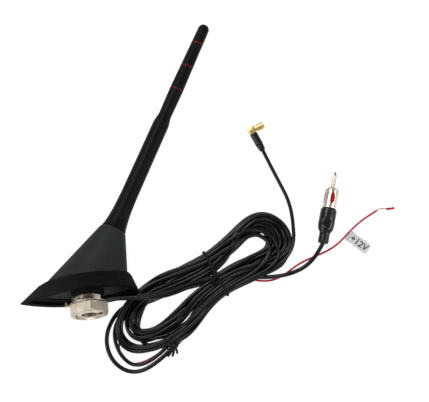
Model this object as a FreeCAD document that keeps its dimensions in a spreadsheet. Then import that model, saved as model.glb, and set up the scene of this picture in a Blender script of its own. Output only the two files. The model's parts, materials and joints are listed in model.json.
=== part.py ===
"""Car roof antenna for FM/AM and DAB radio, with its tied hank of cable, laid on its side on a flat surface.

Row frame: +Z up from the surface, +Y from the mounting nut towards the mast's tip, origin at the bottom
centre of the antenna's own box. The antenna's sub-parts are drawn in the antenna's own frame and placed
together: there +Z is the roof's outward normal, +X points to the car's rear and the origin is on the
mounting stud's axis, in the plane of the rubber skirt's rim.
"""
import FreeCAD, Part
import math
import os
import re
import Sketcher
from FreeCAD import Placement, Rotation, Vector

X_AXIS = Vector(1, 0, 0)
Y_AXIS = Vector(0, 1, 0)
Z_AXIS = Vector(0, 0, 1)
FULL_TURN = 360

# ---------------------------------------------------------------- driving dimensions (mm, degrees)
SIZES = {
    # how the antenna lies on the surface
    "base_x": -17.6,
    "base_y": -93.05,
    "yaw_angle": 7.0,
    "dip_angle": 5.8,
    # rubber skirt: rim, shoulder and lip outlines, each a teardrop
    "rim_nose": -45.2,
    "rim_tail": 34.0,
    "rim_half": 23.7,
    "rim_widest": -1.0,
    "rim_nose_r": 2.5,
    "shoulder_z": 10.2,
    "shoulder_nose": -32.4,
    "shoulder_tail": 30.4,
    "shoulder_half": 15.6,
    "shoulder_widest": 1.0,
    "lip_z": 12.4,
    "lip_nose": -27.8,
    "lip_tail": 28.9,
    "lip_half": 14.0,
    "lip_widest": 1.5,
    "upper_nose_r": 4.0,
    "recess_inset": 5.0,
    "recess_nose_r": 6.5,
    "opening_inset": -0.06,
    "recess_depth": 1.6,
    # housing
    "base_nose": -26.9,
    "base_tail": 27.6,
    "base_half": 13.0,
    "base_widest": 1.5,
    "housing_floor_z": 2.5,
    "housing_wall": 2.0,
    "plate_inset": 2.06,
    "housing_crown": 6.0,
    "housing_top_r": 9.7,
    "top_edge": 1.2,
    "snug": 0.06,
    "boss_r": 3.2,
    "boss_top_z": 15.2,
    "front_boss_x": -19.8,
    "rear_boss_x": 22.6,
    "screw_r": 1.4,
    "screw_head_r": 2.3,
    "screw_head_depth": 1.4,
    "screw_top_z": 12.0,
    # mast joint: where the mast's axis meets the housing's top
    "joint_x": 20.85,
    "joint_z": 43.5,
    "rake_angle": 28.66,
    # chassis plate, stud, collar
    "plate_top_z": 5.0,
    "stud_r": 9.0,
    "stud_bore_r": 5.5,
    "stud_end_z": -12.8,
    "flange_r": 10.5,
    "flange_top_z": 6.6,
    "slot_width": 7.0,
    "slot_top_z": -1.1,
    "collar_r": 11.0,
    "collar_end_z": -1.0,
    "grommet_face_x": 9.5,
    "grommet_end_z": -4.5,
    # claw washer and nut
    "washer_top_z": -4.9,
    "washer_end_z": -6.0,
    "washer_r": 12.4,
    "washer_bore_r": 9.35,
    "claw_reach": 15.4,
    "claw_width": 3.6,
    "claw_thick": 1.3,
    "claw_top_z": -3.3,
    "nut_top_z": -6.3,
    "nut_end_z": -13.4,
    "nut_flat_r": 12.1,
    "nut_face_r": 11.7,
    "nut_chamfer": 1.9,
    "nut_mouth": 0.9,
    "running": 0.05,
    # mast
    "seal_low": 0.3,
    "seal_top": 1.0,
    "seal_bore_r": 3.0,
    "seal_r": 8.2,
    "mast_foot": 1.3,
    "mast_foot_r": 8.5,
    "shaft_r": 5.8,
    "shoulder_start": 84.5,
    "shoulder_stop": 91.5,
    "neck_r": 4.5,
    "ring_low_s": 112.3,
    "ring_mid_s": 131.7,
    "ring_top_s": 151.3,
    "ring_low_r": 4.85,
    "ring_mid_r": 4.5,
    "ring_top_r": 4.2,
    "ring_width": 0.9,
    "ring_depth": 0.35,
    "tip_r": 4.0,
    "mast_length": 167.9,
    "mast_void_top": 160.0,
    "mast_void_r": 2.6,
    "rib_depth": 0.3,
    "rib_pitch": 1.8,
    "rib_count": 9,
    "rib_start": 3.0,
    "thread_r": 2.45,
    "thread_length": 9.0,
    "ferrule_r": 4.0,
    "ferrule_top": 16.0,
    "core_r": 1.5,
    "core_low": 8.0,
    "core_top": 158.0,
    "socket_r": 4.2,
    "socket_depth": 12.0,
    # circuit
    "spacer_r": 2.2,
    "front_spacer_x": -13.0,
    "rear_spacer_x": 14.0,
    "board_z": 9.0,
    "board_thick": 1.6,
    "board_front": -15.4,
    "board_back": 16.4,
    "board_half": 6.6,
    "can_front": -9.0,
    "can_back": 3.0,
    "can_half": 5.6,
    "can_height": 3.2,
    "can_wall": 0.4,
    "board_screw_r": 1.0,
    "board_screw_head_r": 1.9,
    # cables
    "fm_r": 1.45,
    "dab_r": 1.3,
    "power_r": 0.7,
    "hank_height": 9.0,
    "tie_r": 0.75,
    "lower_tie_length": 6.0,
    "lower_tie_width": 9.0,
    "lower_tie_height": 3.6,
    # SMB connector
    "smb_z": 2.9,
    "elbow_side": 5.2,
    "smb_barrel_r": 2.6,
    "smb_barrel_length": 7.0,
    "smb_bore_r": 1.9,
    "smb_boot_r": 2.85,
    "smb_boot_end_r": 2.15,
    "smb_boot_length": 16.2,
    # DIN aerial plug
    "din_z": 5.8,
    "din_boot_r": 5.65,
    "din_neck_r": 3.75,
    "din_boot_length": 25.0,
    "din_shell_r": 4.7,
    "din_shell_length": 14.3,
    "din_shell_wall": 0.4,
    "din_slot_width": 3.0,
    "din_pin_r": 1.5,
    "din_shank_r": 1.3,
    "din_pin_length": 12.4,
    # marker on the power wire
    "flag_length": 16.4,
    "flag_width": 7.8,
    "flag_thick": 0.35,
}

doc = FreeCAD.newDocument("roof_antenna")
sheet = doc.addObject("Spreadsheet::Sheet", "Sizes")
for row, (alias, size) in enumerate(SIZES.items(), start=1):
    sheet.set(f"A{row}", alias)
    sheet.set(f"B{row}", str(size))
    sheet.setAlias(f"B{row}", alias)
doc.recompute()

nodes = []


def size(alias):
    """The value of one driving dimension."""
    return float(sheet.get(alias))


def formula(text):
    """An expression whose words are driving dimensions."""
    return re.sub(r"\b([a-z]\w*)", r"Sizes.\1", str(text))


# ---------------------------------------------------------------- frames
base_height = size("rim_half") * math.cos(math.radians(size("dip_angle")))
lying = Rotation(Z_AXIS, size("yaw_angle")) * Rotation(X_AXIS, -(90 + size("dip_angle")))
ANTENNA = Placement(Vector(size("base_x"), size("base_y"), base_height), lying)
MAST_LOCAL = Placement(
    Vector(size("joint_x"), 0, size("joint_z")), Rotation(Y_AXIS, size("rake_angle"))
)
MAST = ANTENNA.multiply(MAST_LOCAL)
ROW = Placement()


def along(origin, direction):
    """A placement at origin whose +Z runs along direction."""
    return Placement(origin, Rotation(Z_AXIS, direction))


# ---------------------------------------------------------------- drawing helpers
def keep(feature, label, place):
    """Names one sub-part, places it and lists it for export."""
    feature.Label = label
    feature.Placement = place
    nodes.append(feature)
    return feature


def new_body(label, place):
    return keep(doc.addObject("PartDesign::Body", label), label, place)


def origin_feature(body, role):
    return next(f for f in body.Origin.OriginFeatures if f.Role == role)


def new_sketch(body, name, role="XY_Plane", lift=None, place=None):
    """A sketch on one of the body's origin planes, lifted along its normal or moved to a place."""
    sketch = body.newObject("Sketcher::SketchObject", name)
    sketch.AttachmentSupport = [(origin_feature(body, role), "")]
    sketch.MapMode = "FlatFace"
    if lift is not None:
        sketch.setExpression("AttachmentOffset.Base.z", formula(lift))
    if place is not None:
        sketch.AttachmentOffset = place
    return sketch


def worked_out(text):
    """The value of a formula of driving dimensions, read back from a spare cell of the sheet."""
    sheet.set("D1", f"={text}")
    sheet.recompute()
    return float(sheet.get("D1"))


def dimension(sketch, kind, points, text, start=1.0):
    """Adds one dimensional constraint, from a starting value, and binds it to the sheet."""
    index = sketch.addConstraint(Sketcher.Constraint(kind, *points, start))
    sketch.setExpression(f"Constraints[{index}]", formula(text))


def exact_dimension(sketch, kind, points, text):
    """A dimension that already has its value, for arcs that must not jump while they are drawn."""
    dimension(sketch, kind, points, text, worked_out(text))


def draw_polygon(sketch, corners):
    """A closed polygon whose corners are pairs of expressions, each held from the sketch's origin."""
    count = len(corners)
    first = sketch.GeometryCount
    around = [
        Vector(math.cos(math.tau * k / count), math.sin(math.tau * k / count), 0) * count
        for k in range(count + 1)
    ]
    for k in range(count):
        sketch.addGeometry(Part.LineSegment(around[k], around[k + 1]))
    for k in range(count):
        sketch.addConstraint(
            Sketcher.Constraint("Coincident", first + k, 2, first + (k + 1) % count, 1)
        )
    for k, (across, up) in enumerate(corners):
        dimension(sketch, "DistanceX", (-1, 1, first + k, 1), across)
        dimension(sketch, "DistanceY", (-1, 1, first + k, 1), up)


def draw_rectangle(sketch, left, right, low, high):
    draw_polygon(sketch, [(left, low), (right, low), (right, high), (left, high)])


def draw_circle(sketch, radius, x=0, y=0):
    """A circle with its radius and centre bound to the sheet."""
    index = sketch.addGeometry(Part.Circle(Vector(1, 1, 0), Z_AXIS, 1))
    dimension(sketch, "Radius", (index,), radius)
    dimension(sketch, "DistanceX", (-1, 1, index, 3), x)
    dimension(sketch, "DistanceY", (-1, 1, index, 3), y)


def add_feature(body, kind, name, sketch, **settings):
    feature = body.newObject(f"PartDesign::{kind}", name)
    feature.Profile = sketch
    for key, setting in settings.items():
        setattr(feature, key, setting)
    return feature


def pad(body, name, sketch, length, reverse=False):
    feature = add_feature(body, "Pad", name, sketch, Reversed=reverse)
    feature.setExpression("Length", formula(length))
    return feature


def pocket(body, name, sketch, length, reverse=False):
    feature = add_feature(body, "Pocket", name, sketch, Reversed=reverse)
    feature.setExpression("Length", formula(length))
    return feature


def revolve(body, kind, name, sketch):
    """Turns a profile drawn on the XZ plane about the body's Z axis."""
    axis = (origin_feature(body, "Z_Axis"), [""])
    return add_feature(body, kind, name, sketch, ReferenceAxis=axis, Angle=FULL_TURN)


def turned(label, place, corners):
    """A body turned from one profile of (radius, height) corners."""
    body = new_body(label, place)
    sketch = new_sketch(body, label + "_profile", "XZ_Plane")
    draw_polygon(sketch, corners)
    revolve(body, "Revolution", label + "_turn", sketch)
    return body


def turned_ring(label, place, bore, radius, low, high):
    return turned(label, place, [(bore, low), (radius, low), (radius, high), (bore, high)])


class Teardrop:
    """Texts of a teardrop's sizes: a nose circle and a tail circle joined by two large side arcs."""

    def __init__(self, prefix, nose_r, inset="0"):
        self.nose_r = f"({nose_r} - {inset})"
        self.nose_x = f"({prefix}_nose + {nose_r})"
        self.tail = f"({prefix}_tail - {inset})"
        self.half = f"({prefix}_half - {inset})"
        self.widest = f"{prefix}_widest"
        reach = f"({self.widest} - {self.nose_x})"
        rest = f"({self.half} - {self.nose_r})"
        self.depth = f"(({reach} * {reach} - {rest} * {rest}) / (2 * {rest}))"
        span = f"({self.tail} - {self.widest})"
        self.tail_r = (
            f"(({span} * {span} - {self.half} * {self.half} - 2 * {self.depth} * {self.half})"
            f" / (2 * ({span} - {self.half} - {self.depth})))"
        )
        self.tail_x = f"({self.tail} - {self.tail_r})"


def nearest_ends(one, other):
    """Which end of each arc (1 start, 2 end) meets the other arc."""
    pairs = {}
    for a, first in ((1, one.StartPoint), (2, one.EndPoint)):
        for b, second in ((1, other.StartPoint), (2, other.EndPoint)):
            pairs[a, b] = first.distanceToPoint(second)
    return min(pairs, key=pairs.get)


def teardrop_sketch(body, name, drop, lift):
    """Sketches a teardrop as four tangent arcs: nose, one side, tail, other side."""
    texts = (drop.nose_x, drop.nose_r, drop.depth, drop.widest, drop.half, drop.tail_x, drop.tail_r)
    nose_x, nose_r, depth, widest, half, tail_x, tail_r = (worked_out(text) for text in texts)

    def meet(end_x, sign):
        """Where the side arc on one side touches the nose or tail circle."""
        centre = Vector(widest, -sign * depth, 0)
        return centre + (Vector(end_x, 0, 0) - centre).normalize() * (half + depth)

    front = {sign: meet(nose_x, sign) for sign in (1, -1)}
    back = {sign: meet(tail_x, sign) for sign in (1, -1)}
    sketch = new_sketch(body, name, lift=lift)
    sketch.addGeometry(Part.Arc(front[1], Vector(nose_x - nose_r, 0, 0), front[-1]))
    sketch.addGeometry(Part.Arc(front[-1], Vector(widest, -half, 0), back[-1]))
    sketch.addGeometry(Part.Arc(back[-1], Vector(tail_x + tail_r, 0, 0), back[1]))
    sketch.addGeometry(Part.Arc(back[1], Vector(widest, half, 0), front[1]))
    for here in range(4):
        there = (here + 1) % 4
        end, start = nearest_ends(sketch.Geometry[here], sketch.Geometry[there])
        sketch.addConstraint(Sketcher.Constraint("Tangent", here, end, there, start))
    exact_dimension(sketch, "DistanceX", (-1, 1, 0, 3), drop.nose_x)
    exact_dimension(sketch, "DistanceY", (-1, 1, 0, 3), "0")
    exact_dimension(sketch, "Radius", (0,), drop.nose_r)
    for side, sign in ((1, 1), (3, -1)):
        exact_dimension(sketch, "DistanceX", (-1, 1, side, 3), drop.widest)
        exact_dimension(sketch, "DistanceY", (-1, 1, side, 3), f"{sign} * {drop.depth}")
    exact_dimension(sketch, "DistanceX", (-1, 1, 2, 3), drop.tail_x)
    return sketch


def seat_sketch(body, name, place, radius):
    """A circle in four arcs that pair with a teardrop's nose, sides and tail, on a placed plane."""
    sketch = new_sketch(body, name, place=place)
    corners = [125, 235, 300, 420, 485]
    value = worked_out(radius)

    def at(degrees):
        angle = math.radians(degrees)
        return Vector(math.cos(angle), math.sin(angle), 0) * value

    for here, there in zip(corners, corners[1:]):
        sketch.addGeometry(Part.Arc(at(here), at((here + there) / 2), at(there)))
    for k in range(4):
        sketch.addConstraint(Sketcher.Constraint("Coincident", k, 2, (k + 1) % 4, 1))
        angle = math.radians(corners[k])
        exact_dimension(sketch, "DistanceX", (-1, 1, k, 1), f"{radius} * {math.cos(angle):.9f}")
        exact_dimension(sketch, "DistanceY", (-1, 1, k, 1), f"{radius} * {math.sin(angle):.9f}")
        exact_dimension(sketch, "Radius", (k,), radius)
    return sketch


def seat_circle(body, name, station, radius):
    """A circle square to the mast's axis, at a station along it, in the antenna's frame."""
    spot = MAST_LOCAL.multiply(Placement(Vector(0, 0, station), Rotation()))
    return seat_sketch(body, name, spot, radius)


def loft(body, kind, name, sketches):
    return add_feature(body, kind, name, sketches[0], Sections=sketches[1:], Ruled=True)


def round_edges(body, name, radius, wanted):
    """Fillets the edges of the body's tip that a test picks out."""
    doc.recompute()
    base = body.Tip
    picked = [f"Edge{k}" for k, edge in enumerate(base.Shape.Edges, start=1) if wanted(edge)]
    feature = body.newObject("PartDesign::Fillet", name)
    feature.Base = (base, picked)
    feature.setExpression("Radius", formula(radius))
    return feature


def copies(label, place, source, spots):
    """One node of separate equal solids: the source body's shape at each spot."""
    doc.recompute()
    shapes = []
    for spot in spots:
        shape = source.Shape.copy()
        shape.Placement = Placement(spot, Rotation())
        shapes.append(shape)
    group = doc.addObject("Part::Feature", label)
    group.Shape = Part.makeCompound(shapes)
    nodes.remove(source)
    return keep(group, label, place)


def rounded_path(points, name):
    """Straight runs joined by tangent arcs, and the path's smallest radius."""
    edges = []
    radii = []
    start = points[0]
    for before, corner, after in zip(points, points[1:], points[2:]):
        into = (corner - before).normalize()
        away = (after - corner).normalize()
        half_turn = into.getAngle(away) / 2
        trim = 0.45 * min(corner.distanceToPoint(before), corner.distanceToPoint(after))
        radius = trim / math.tan(half_turn)
        radii.append(radius)
        inner = (away - into).normalize()
        centre = corner + inner * (radius / math.cos(half_turn))
        entry = corner - into * trim
        leave = corner + away * trim
        edges.append(Part.LineSegment(start, entry).toShape())
        edges.append(Part.Arc(entry, centre - inner * radius, leave).toShape())
        start = leave
    edges.append(Part.LineSegment(start, points[-1]).toShape())
    wire = Part.Wire(edges)
    print(f"{name}: length {wire.Length:.1f}, radii {', '.join(f'{r:.0f}' for r in radii)}")
    return wire


def tube_shape(points, radius, name):
    """A round tube along a rounded path, with its volume compared with section times length."""
    wire = rounded_path(points, name)
    first = (points[1] - points[0]).normalize()
    section = Part.Wire([Part.Circle(points[0], first, radius).toShape()])
    shape = wire.makePipeShell([section], True, False)
    expected = math.pi * radius**2 * wire.Length
    print(f"{name}: volume ratio {shape.Volume / expected:.4f}")
    return shape


def tube(label, points, radius, place=ROW):
    """One cord node: the tube along its route."""
    feature = doc.addObject("Part::Feature", label)
    feature.Shape = tube_shape([Vector(*point) for point in points], radius, label)
    return keep(feature, label, place)


# ---------------------------------------------------------------- antenna base
def make_skirt():
    """Rubber gasket: a flared teardrop wall, a shoulder and a lip round the housing."""
    body = new_body("rubber_skirt", ANTENNA)
    rim = teardrop_sketch(body, "skirt_rim", Teardrop("rim", "rim_nose_r"), "0")
    edge = Teardrop("shoulder", "upper_nose_r")
    shoulder = teardrop_sketch(body, "skirt_shoulder", edge, "shoulder_z")
    loft(body, "AdditiveLoft", "skirt_wall", [rim, shoulder])
    shoulder_again = teardrop_sketch(body, "skirt_shoulder_top", edge, "shoulder_z")
    lip = teardrop_sketch(body, "skirt_lip", Teardrop("lip", "upper_nose_r"), "lip_z")
    loft(body, "AdditiveLoft", "skirt_shoulder_slope", [shoulder_again, lip])
    hole = Teardrop("base", "upper_nose_r", "opening_inset")
    opening = teardrop_sketch(body, "skirt_opening", hole, "lip_z")
    pocket(body, "skirt_opening_cut", opening, "lip_z")
    hollow = Teardrop("rim", "recess_nose_r", "recess_inset")
    recess = teardrop_sketch(body, "skirt_recess", hollow, "0")
    pocket(body, "skirt_recess_cut", recess, "recess_depth", reverse=True)
    return body


BOSSES = ["front_boss_x", "rear_boss_x"]


def make_housing():
    """Hollow raked cover: an upright foot inside the skirt, then a loft to the round mast seat."""
    body = new_body("housing", ANTENNA)
    foot = teardrop_sketch(body, "housing_foot", Teardrop("base", "upper_nose_r"), "lip_z")
    pad(body, "housing_foot_wall", foot, "lip_z - housing_floor_z", reverse=True)
    low = teardrop_sketch(body, "housing_low", Teardrop("base", "upper_nose_r"), "lip_z")
    rim = seat_circle(body, "housing_rim", -size("top_edge"), "housing_top_r")
    loft(body, "AdditiveLoft", "housing_slope", [low, rim])
    rim_again = seat_circle(body, "housing_rim_top", -size("top_edge"), "housing_top_r")
    top = seat_circle(body, "housing_top", 0, "(housing_top_r - top_edge / 2)")
    loft(body, "AdditiveLoft", "housing_top_edge", [rim_again, top])
    inner = Teardrop("base", "upper_nose_r", "housing_wall")
    hollow_foot = teardrop_sketch(body, "hollow_foot", inner, "lip_z")
    pocket(body, "hollow_foot_cut", hollow_foot, "lip_z - housing_floor_z")
    hollow_low = teardrop_sketch(body, "hollow_low", inner, "lip_z")
    inner_r = "(housing_top_r - housing_wall)"
    hollow_top = seat_circle(body, "hollow_top", -size("housing_crown"), inner_r)
    loft(body, "SubtractiveLoft", "hollow_slope", [hollow_low, hollow_top])
    bosses = new_sketch(body, "housing_bosses", lift="plate_top_z")
    for x in BOSSES:
        draw_circle(bosses, "boss_r", x)
    pad(body, "housing_boss_pads", bosses, "boss_top_z - plate_top_z")
    threads = new_sketch(body, "housing_boss_holes", lift="plate_top_z")
    for x in BOSSES:
        draw_circle(threads, "screw_r + snug", x)
    pocket(body, "housing_boss_bores", threads, "screw_top_z - plate_top_z", reverse=True)
    seat = new_sketch(body, "socket_seat", place=MAST_LOCAL)
    draw_circle(seat, "socket_r")
    pocket(body, "socket_seat_cut", seat, "socket_depth")
    return body


def make_chassis_plate():
    """Die-cast plate that closes the housing's foot and carries the stud."""
    body = new_body("chassis_plate", ANTENNA)
    drop = Teardrop("base", "upper_nose_r", "plate_inset")
    outline = teardrop_sketch(body, "plate_outline", drop, "housing_floor_z")
    pad(body, "plate_pad", outline, "plate_top_z - housing_floor_z")
    holes = new_sketch(body, "plate_holes", lift="plate_top_z")
    draw_circle(holes, "stud_r + snug")
    for x in BOSSES:
        draw_circle(holes, "screw_r + snug", x)
    pocket(body, "plate_hole_cut", holes, "plate_top_z - housing_floor_z")
    sinks = new_sketch(body, "plate_counterbores", lift="housing_floor_z")
    for x in BOSSES:
        draw_circle(sinks, "screw_head_r + snug", x)
    pocket(body, "plate_counterbore_cut", sinks, "screw_head_depth", reverse=True)
    return body


def make_stud():
    """Hollow threaded stud with a flange above the plate and a cable slot facing the tail."""
    body = turned(
        "threaded_stud",
        ANTENNA,
        [
            ("stud_bore_r", "stud_end_z"),
            ("stud_r", "stud_end_z"),
            ("stud_r", "plate_top_z"),
            ("flange_r", "plate_top_z"),
            ("flange_r", "flange_top_z"),
            ("stud_bore_r", "flange_top_z"),
        ],
    )
    slot = new_sketch(body, "stud_slot", lift="stud_end_z")
    draw_rectangle(slot, "0", "stud_r + 1", "-slot_width / 2", "slot_width / 2")
    pocket(body, "stud_slot_cut", slot, "slot_top_z - stud_end_z", reverse=True)
    return body


def make_grommet():
    """Rubber block that fills the slot where the cables leave the stud."""
    body = new_body("cable_grommet", ANTENNA)
    outline = new_sketch(body, "grommet_outline", lift="grommet_end_z")
    draw_rectangle(
        outline,
        "stud_bore_r + 0.5",
        "grommet_face_x",
        "snug - slot_width / 2",
        "slot_width / 2 - snug",
    )
    pad(body, "grommet_pad", outline, "slot_top_z - snug - grommet_end_z")
    return body


def make_claw_washer():
    """Captive washer with three claws bent up against the roof's inner side."""
    body = turned_ring(
        "claw_washer", ANTENNA, "washer_bore_r", "washer_r", "washer_end_z", "washer_top_z"
    )
    claw = new_sketch(body, "claw_profile", "XZ_Plane")
    draw_polygon(
        claw,
        [
            ("-claw_reach", "washer_end_z"),
            ("-(washer_r - 1)", "washer_end_z"),
            ("-(washer_r - 1)", "washer_top_z"),
            ("-(claw_reach - claw_thick)", "washer_top_z"),
            ("-(claw_reach - claw_thick)", "claw_top_z"),
            ("-claw_reach", "claw_top_z"),
        ],
    )
    claws = pad(body, "claw_pad", claw, "claw_width")
    claws.Midplane = True
    ring = body.newObject("PartDesign::PolarPattern", "claw_ring")
    ring.Originals = [claws]
    ring.Axis = (origin_feature(body, "Z_Axis"), [""])
    ring.Angle = FULL_TURN
    ring.Occurrences = 3
    body.Tip = ring
    return body


def make_nut():
    """Hex nut with its corners turned down at both faces and a chamfered mouth."""
    body = new_body("hex_nut", ANTENNA)
    hexagon = new_sketch(body, "nut_hexagon", lift="nut_end_z")
    corner_r = size("nut_flat_r") / math.cos(math.pi / 6)
    corners = []
    for k in range(6):
        angle = math.radians(60 * k - 80)
        corners.append((f"{corner_r * math.cos(angle)}", f"{corner_r * math.sin(angle)}"))
    draw_polygon(hexagon, corners)
    pad(body, "nut_pad", hexagon, "nut_top_z - nut_end_z")
    far = "nut_flat_r + 4"
    drop = "nut_chamfer * 4 / 7"
    trims = new_sketch(body, "nut_corner_trims", "XZ_Plane")
    draw_polygon(
        trims, [("nut_face_r", "nut_end_z"), (far, "nut_end_z"), (far, "nut_end_z + nut_chamfer * 1.4")]
    )
    draw_polygon(
        trims, [("nut_face_r", "nut_top_z"), (far, "nut_top_z"), (far, f"nut_top_z - {drop}")]
    )
    revolve(body, "Groove", "nut_corner_cut", trims)
    bore = new_sketch(body, "nut_bore", "XZ_Plane")
    draw_polygon(
        bore,
        [
            ("0", "nut_end_z"),
            ("stud_r + nut_mouth", "nut_end_z"),
            ("stud_r + running", "nut_end_z + nut_mouth"),
            ("stud_r + running", "nut_top_z"),
            ("0", "nut_top_z"),
        ],
    )
    revolve(body, "Groove", "nut_bore_cut", bore)
    return body


def make_base():
    make_skirt()
    make_housing()
    make_chassis_plate()
    make_stud()
    bore = "stud_r + snug"
    turned_ring("locating_collar", ANTENNA, bore, "collar_r", "collar_end_z", "housing_floor_z")
    make_grommet()
    make_claw_washer()
    make_nut()
    screw = turned(
        "housing_screw",
        ROW,
        [
            ("0", "housing_floor_z + 0.2"),
            ("screw_head_r", "housing_floor_z + 0.2"),
            ("screw_head_r", "housing_floor_z + screw_head_depth"),
            ("screw_r", "housing_floor_z + screw_head_depth"),
            ("screw_r", "screw_top_z - 0.5"),
            ("0", "screw_top_z - 0.5"),
        ],
    )
    copies("housing_screws", ANTENNA, screw, [Vector(size(x), 0, 0) for x in BOSSES])


# ---------------------------------------------------------------- circuit
def spacer_spots():
    return [Vector(size("front_spacer_x"), 0, 0), Vector(size("rear_spacer_x"), 0, 0)]


def make_board():
    """Amplifier board on its two spacers."""
    body = new_body("amplifier_board", ANTENNA)
    outline = new_sketch(body, "board_outline", lift="board_z")
    draw_rectangle(outline, "board_front", "board_back", "-board_half", "board_half")
    pad(body, "board_pad", outline, "board_thick")
    holes = new_sketch(body, "board_holes", lift="board_z")
    for spot in spacer_spots():
        draw_circle(holes, "board_screw_r + snug", spot.x, 0)
    pocket(body, "board_hole_cut", holes, "board_thick", reverse=True)
    return body


def make_shield_can():
    """Folded tin screen over the amplifier stage."""
    body = new_body("shield_can", ANTENNA)
    outline = new_sketch(body, "can_outline", lift="board_z + board_thick")
    draw_rectangle(outline, "can_front", "can_back", "-can_half", "can_half")
    pad(body, "can_pad", outline, "can_height")
    inside = new_sketch(body, "can_inside", lift="board_z + board_thick")
    wall = "can_wall"
    sides = (f"{wall} - can_half", f"can_half - {wall}")
    draw_rectangle(inside, f"can_front + {wall}", f"can_back - {wall}", *sides)
    pocket(body, "can_inside_cut", inside, "can_height - can_wall", reverse=True)
    return body


def make_board_parts():
    """Coils, capacitors and the regulator beside the screen, as one group of small blocks."""
    blocks = [
        (4.6, -5.8, 3.0, 2.4, 1.6),
        (4.6, 2.0, 3.4, 3.4, 2.6),
        (8.8, -5.6, 2.6, 4.0, 1.8),
        (8.8, 3.0, 2.6, 2.6, 2.0),
        (-12.2, -5.6, 2.2, 3.2, 1.4),
        (-12.2, 2.6, 2.2, 3.2, 1.4),
    ]
    boxes = []
    for index, (x, y, length, width, height) in enumerate(blocks, start=1):
        box = doc.addObject("Part::Box", f"board_part_{index}")
        box.Length, box.Width, box.Height = length, width, height
        box.Placement.Base = Vector(x, y, 0)
        box.setExpression("Placement.Base.z", formula("board_z + board_thick"))
        boxes.append(box)
    group = doc.addObject("Part::Compound", "board_parts")
    group.Links = boxes
    return keep(group, "board_parts", ANTENNA)


def make_circuit():
    bore = "board_screw_r + snug"
    spacer = turned_ring("board_spacer", ROW, bore, "spacer_r", "plate_top_z", "board_z")
    copies("board_spacers", ANTENNA, spacer, spacer_spots())
    make_board()
    make_shield_can()
    make_board_parts()
    board_top = "board_z + board_thick"
    screw = turned(
        "board_screw",
        ROW,
        [
            ("0", "plate_top_z + 0.5"),
            ("board_screw_r", "plate_top_z + 0.5"),
            ("board_screw_r", board_top),
            ("board_screw_head_r", board_top),
            ("board_screw_head_r", board_top + " + 1.2"),
            ("0", board_top + " + 1.2"),
        ],
    )
    copies("board_screws", ANTENNA, screw, spacer_spots())
    socket_end = MAST_LOCAL.multVec(Vector(3.2, 0, -size("socket_depth")))
    lead = [
        (socket_end.x, 0, socket_end.z),
        (socket_end.x - 1.5, 0, socket_end.z - 4),
        (socket_end.x - 1.7, 0, socket_end.z - 9),
        (12.6, 0, 17.4),
        (10.8, 0, size("board_z") + size("board_thick")),
    ]
    tube("feed_wire", lead, 0.5, ANTENNA)


# ---------------------------------------------------------------- mast
def ring_groove(station, radius):
    """Corners of one groove that holds a coloured ring, from low to high."""
    low = f"{station} - ring_width / 2"
    high = f"{station} + ring_width / 2"
    floor = f"{radius} - ring_depth"
    return [(radius, low), (floor, low), (floor, high), (radius, high)]


def make_mast_sheath():
    """Rubber over-moulding: flared foot, straight shaft, stepped-in neck, two ribbed zones, domed tip."""
    corners = [
        ("ferrule_r + snug", "mast_foot"),
        ("mast_foot_r", "mast_foot"),
        ("mast_foot_r - 0.6", "mast_foot + 2.2"),
        ("mast_foot_r - 1.4", "mast_foot + 7.3"),
        ("mast_foot_r - 1.95", "mast_foot + 12.5"),
        ("mast_foot_r - 2.25", "mast_foot + 17"),
        ("shaft_r + 0.15", "mast_foot + 26"),
        ("shaft_r", "mast_foot + 52"),
        ("shaft_r - 0.1", "shoulder_start"),
        ("neck_r", "shoulder_stop"),
    ]
    corners += ring_groove("ring_low_s", "ring_low_r")
    corners += ring_groove("ring_mid_s", "ring_mid_r")
    corners += ring_groove("ring_top_s", "ring_top_r")
    corners += [
        ("tip_r", "mast_length - tip_r"),
        ("tip_r", "mast_length"),
        ("0", "mast_length"),
        ("0", "mast_void_top"),
        ("mast_void_r", "mast_void_top"),
        ("mast_void_r", "ferrule_top + snug"),
        ("ferrule_r + snug", "ferrule_top + snug"),
    ]
    body = turned("mast_sheath", MAST, corners)
    tip_r = size("tip_r")
    tip_z = size("mast_length")
    round_edges(
        body,
        "mast_dome",
        "tip_r - 0.05",
        lambda edge: abs(edge.BoundBox.ZMin - tip_z) < 0.01 and edge.BoundBox.XMax > tip_r - 0.01,
    )
    zones = (("low", "ring_low_s", "ring_low_r"), ("high", "ring_mid_s", "ring_mid_r"))
    for zone, station, radius in zones:
        valley = new_sketch(body, f"{zone}_rib_valley", "XZ_Plane")
        floor = f"{radius} - rib_depth"
        height = f"{station} + rib_start"
        draw_polygon(
            valley,
            [
                (floor, height),
                ("tip_r + 2", f"{height} - rib_pitch / 2"),
                ("tip_r + 2", f"{height} + rib_pitch / 2"),
            ],
        )
        groove = revolve(body, "Groove", f"{zone}_rib_cut", valley)
        row = body.newObject("PartDesign::LinearPattern", f"{zone}_rib_row")
        row.Originals = [groove]
        row.Direction = (origin_feature(body, "Z_Axis"), [""])
        row.setExpression("Length", formula("rib_pitch * (rib_count - 1)"))
        row.Occurrences = int(size("rib_count"))
        body.Tip = row
    return body


def make_mast_rings():
    """The three coloured rings, each sitting in its groove."""
    shapes = []
    for index, level in enumerate(("low", "mid", "top"), start=1):
        ring = turned_ring(
            f"mast_ring_{index}",
            ROW,
            f"ring_{level}_r - ring_depth + snug",
            f"ring_{level}_r + snug",
            f"ring_{level}_s - ring_width / 2 + snug",
            f"ring_{level}_s + ring_width / 2 - snug",
        )
        nodes.remove(ring)
        shapes.append(ring)
    doc.recompute()
    group = doc.addObject("Part::Feature", "mast_rings")
    group.Shape = Part.makeCompound([ring.Shape.copy() for ring in shapes])
    return keep(group, "mast_rings", MAST)


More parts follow.
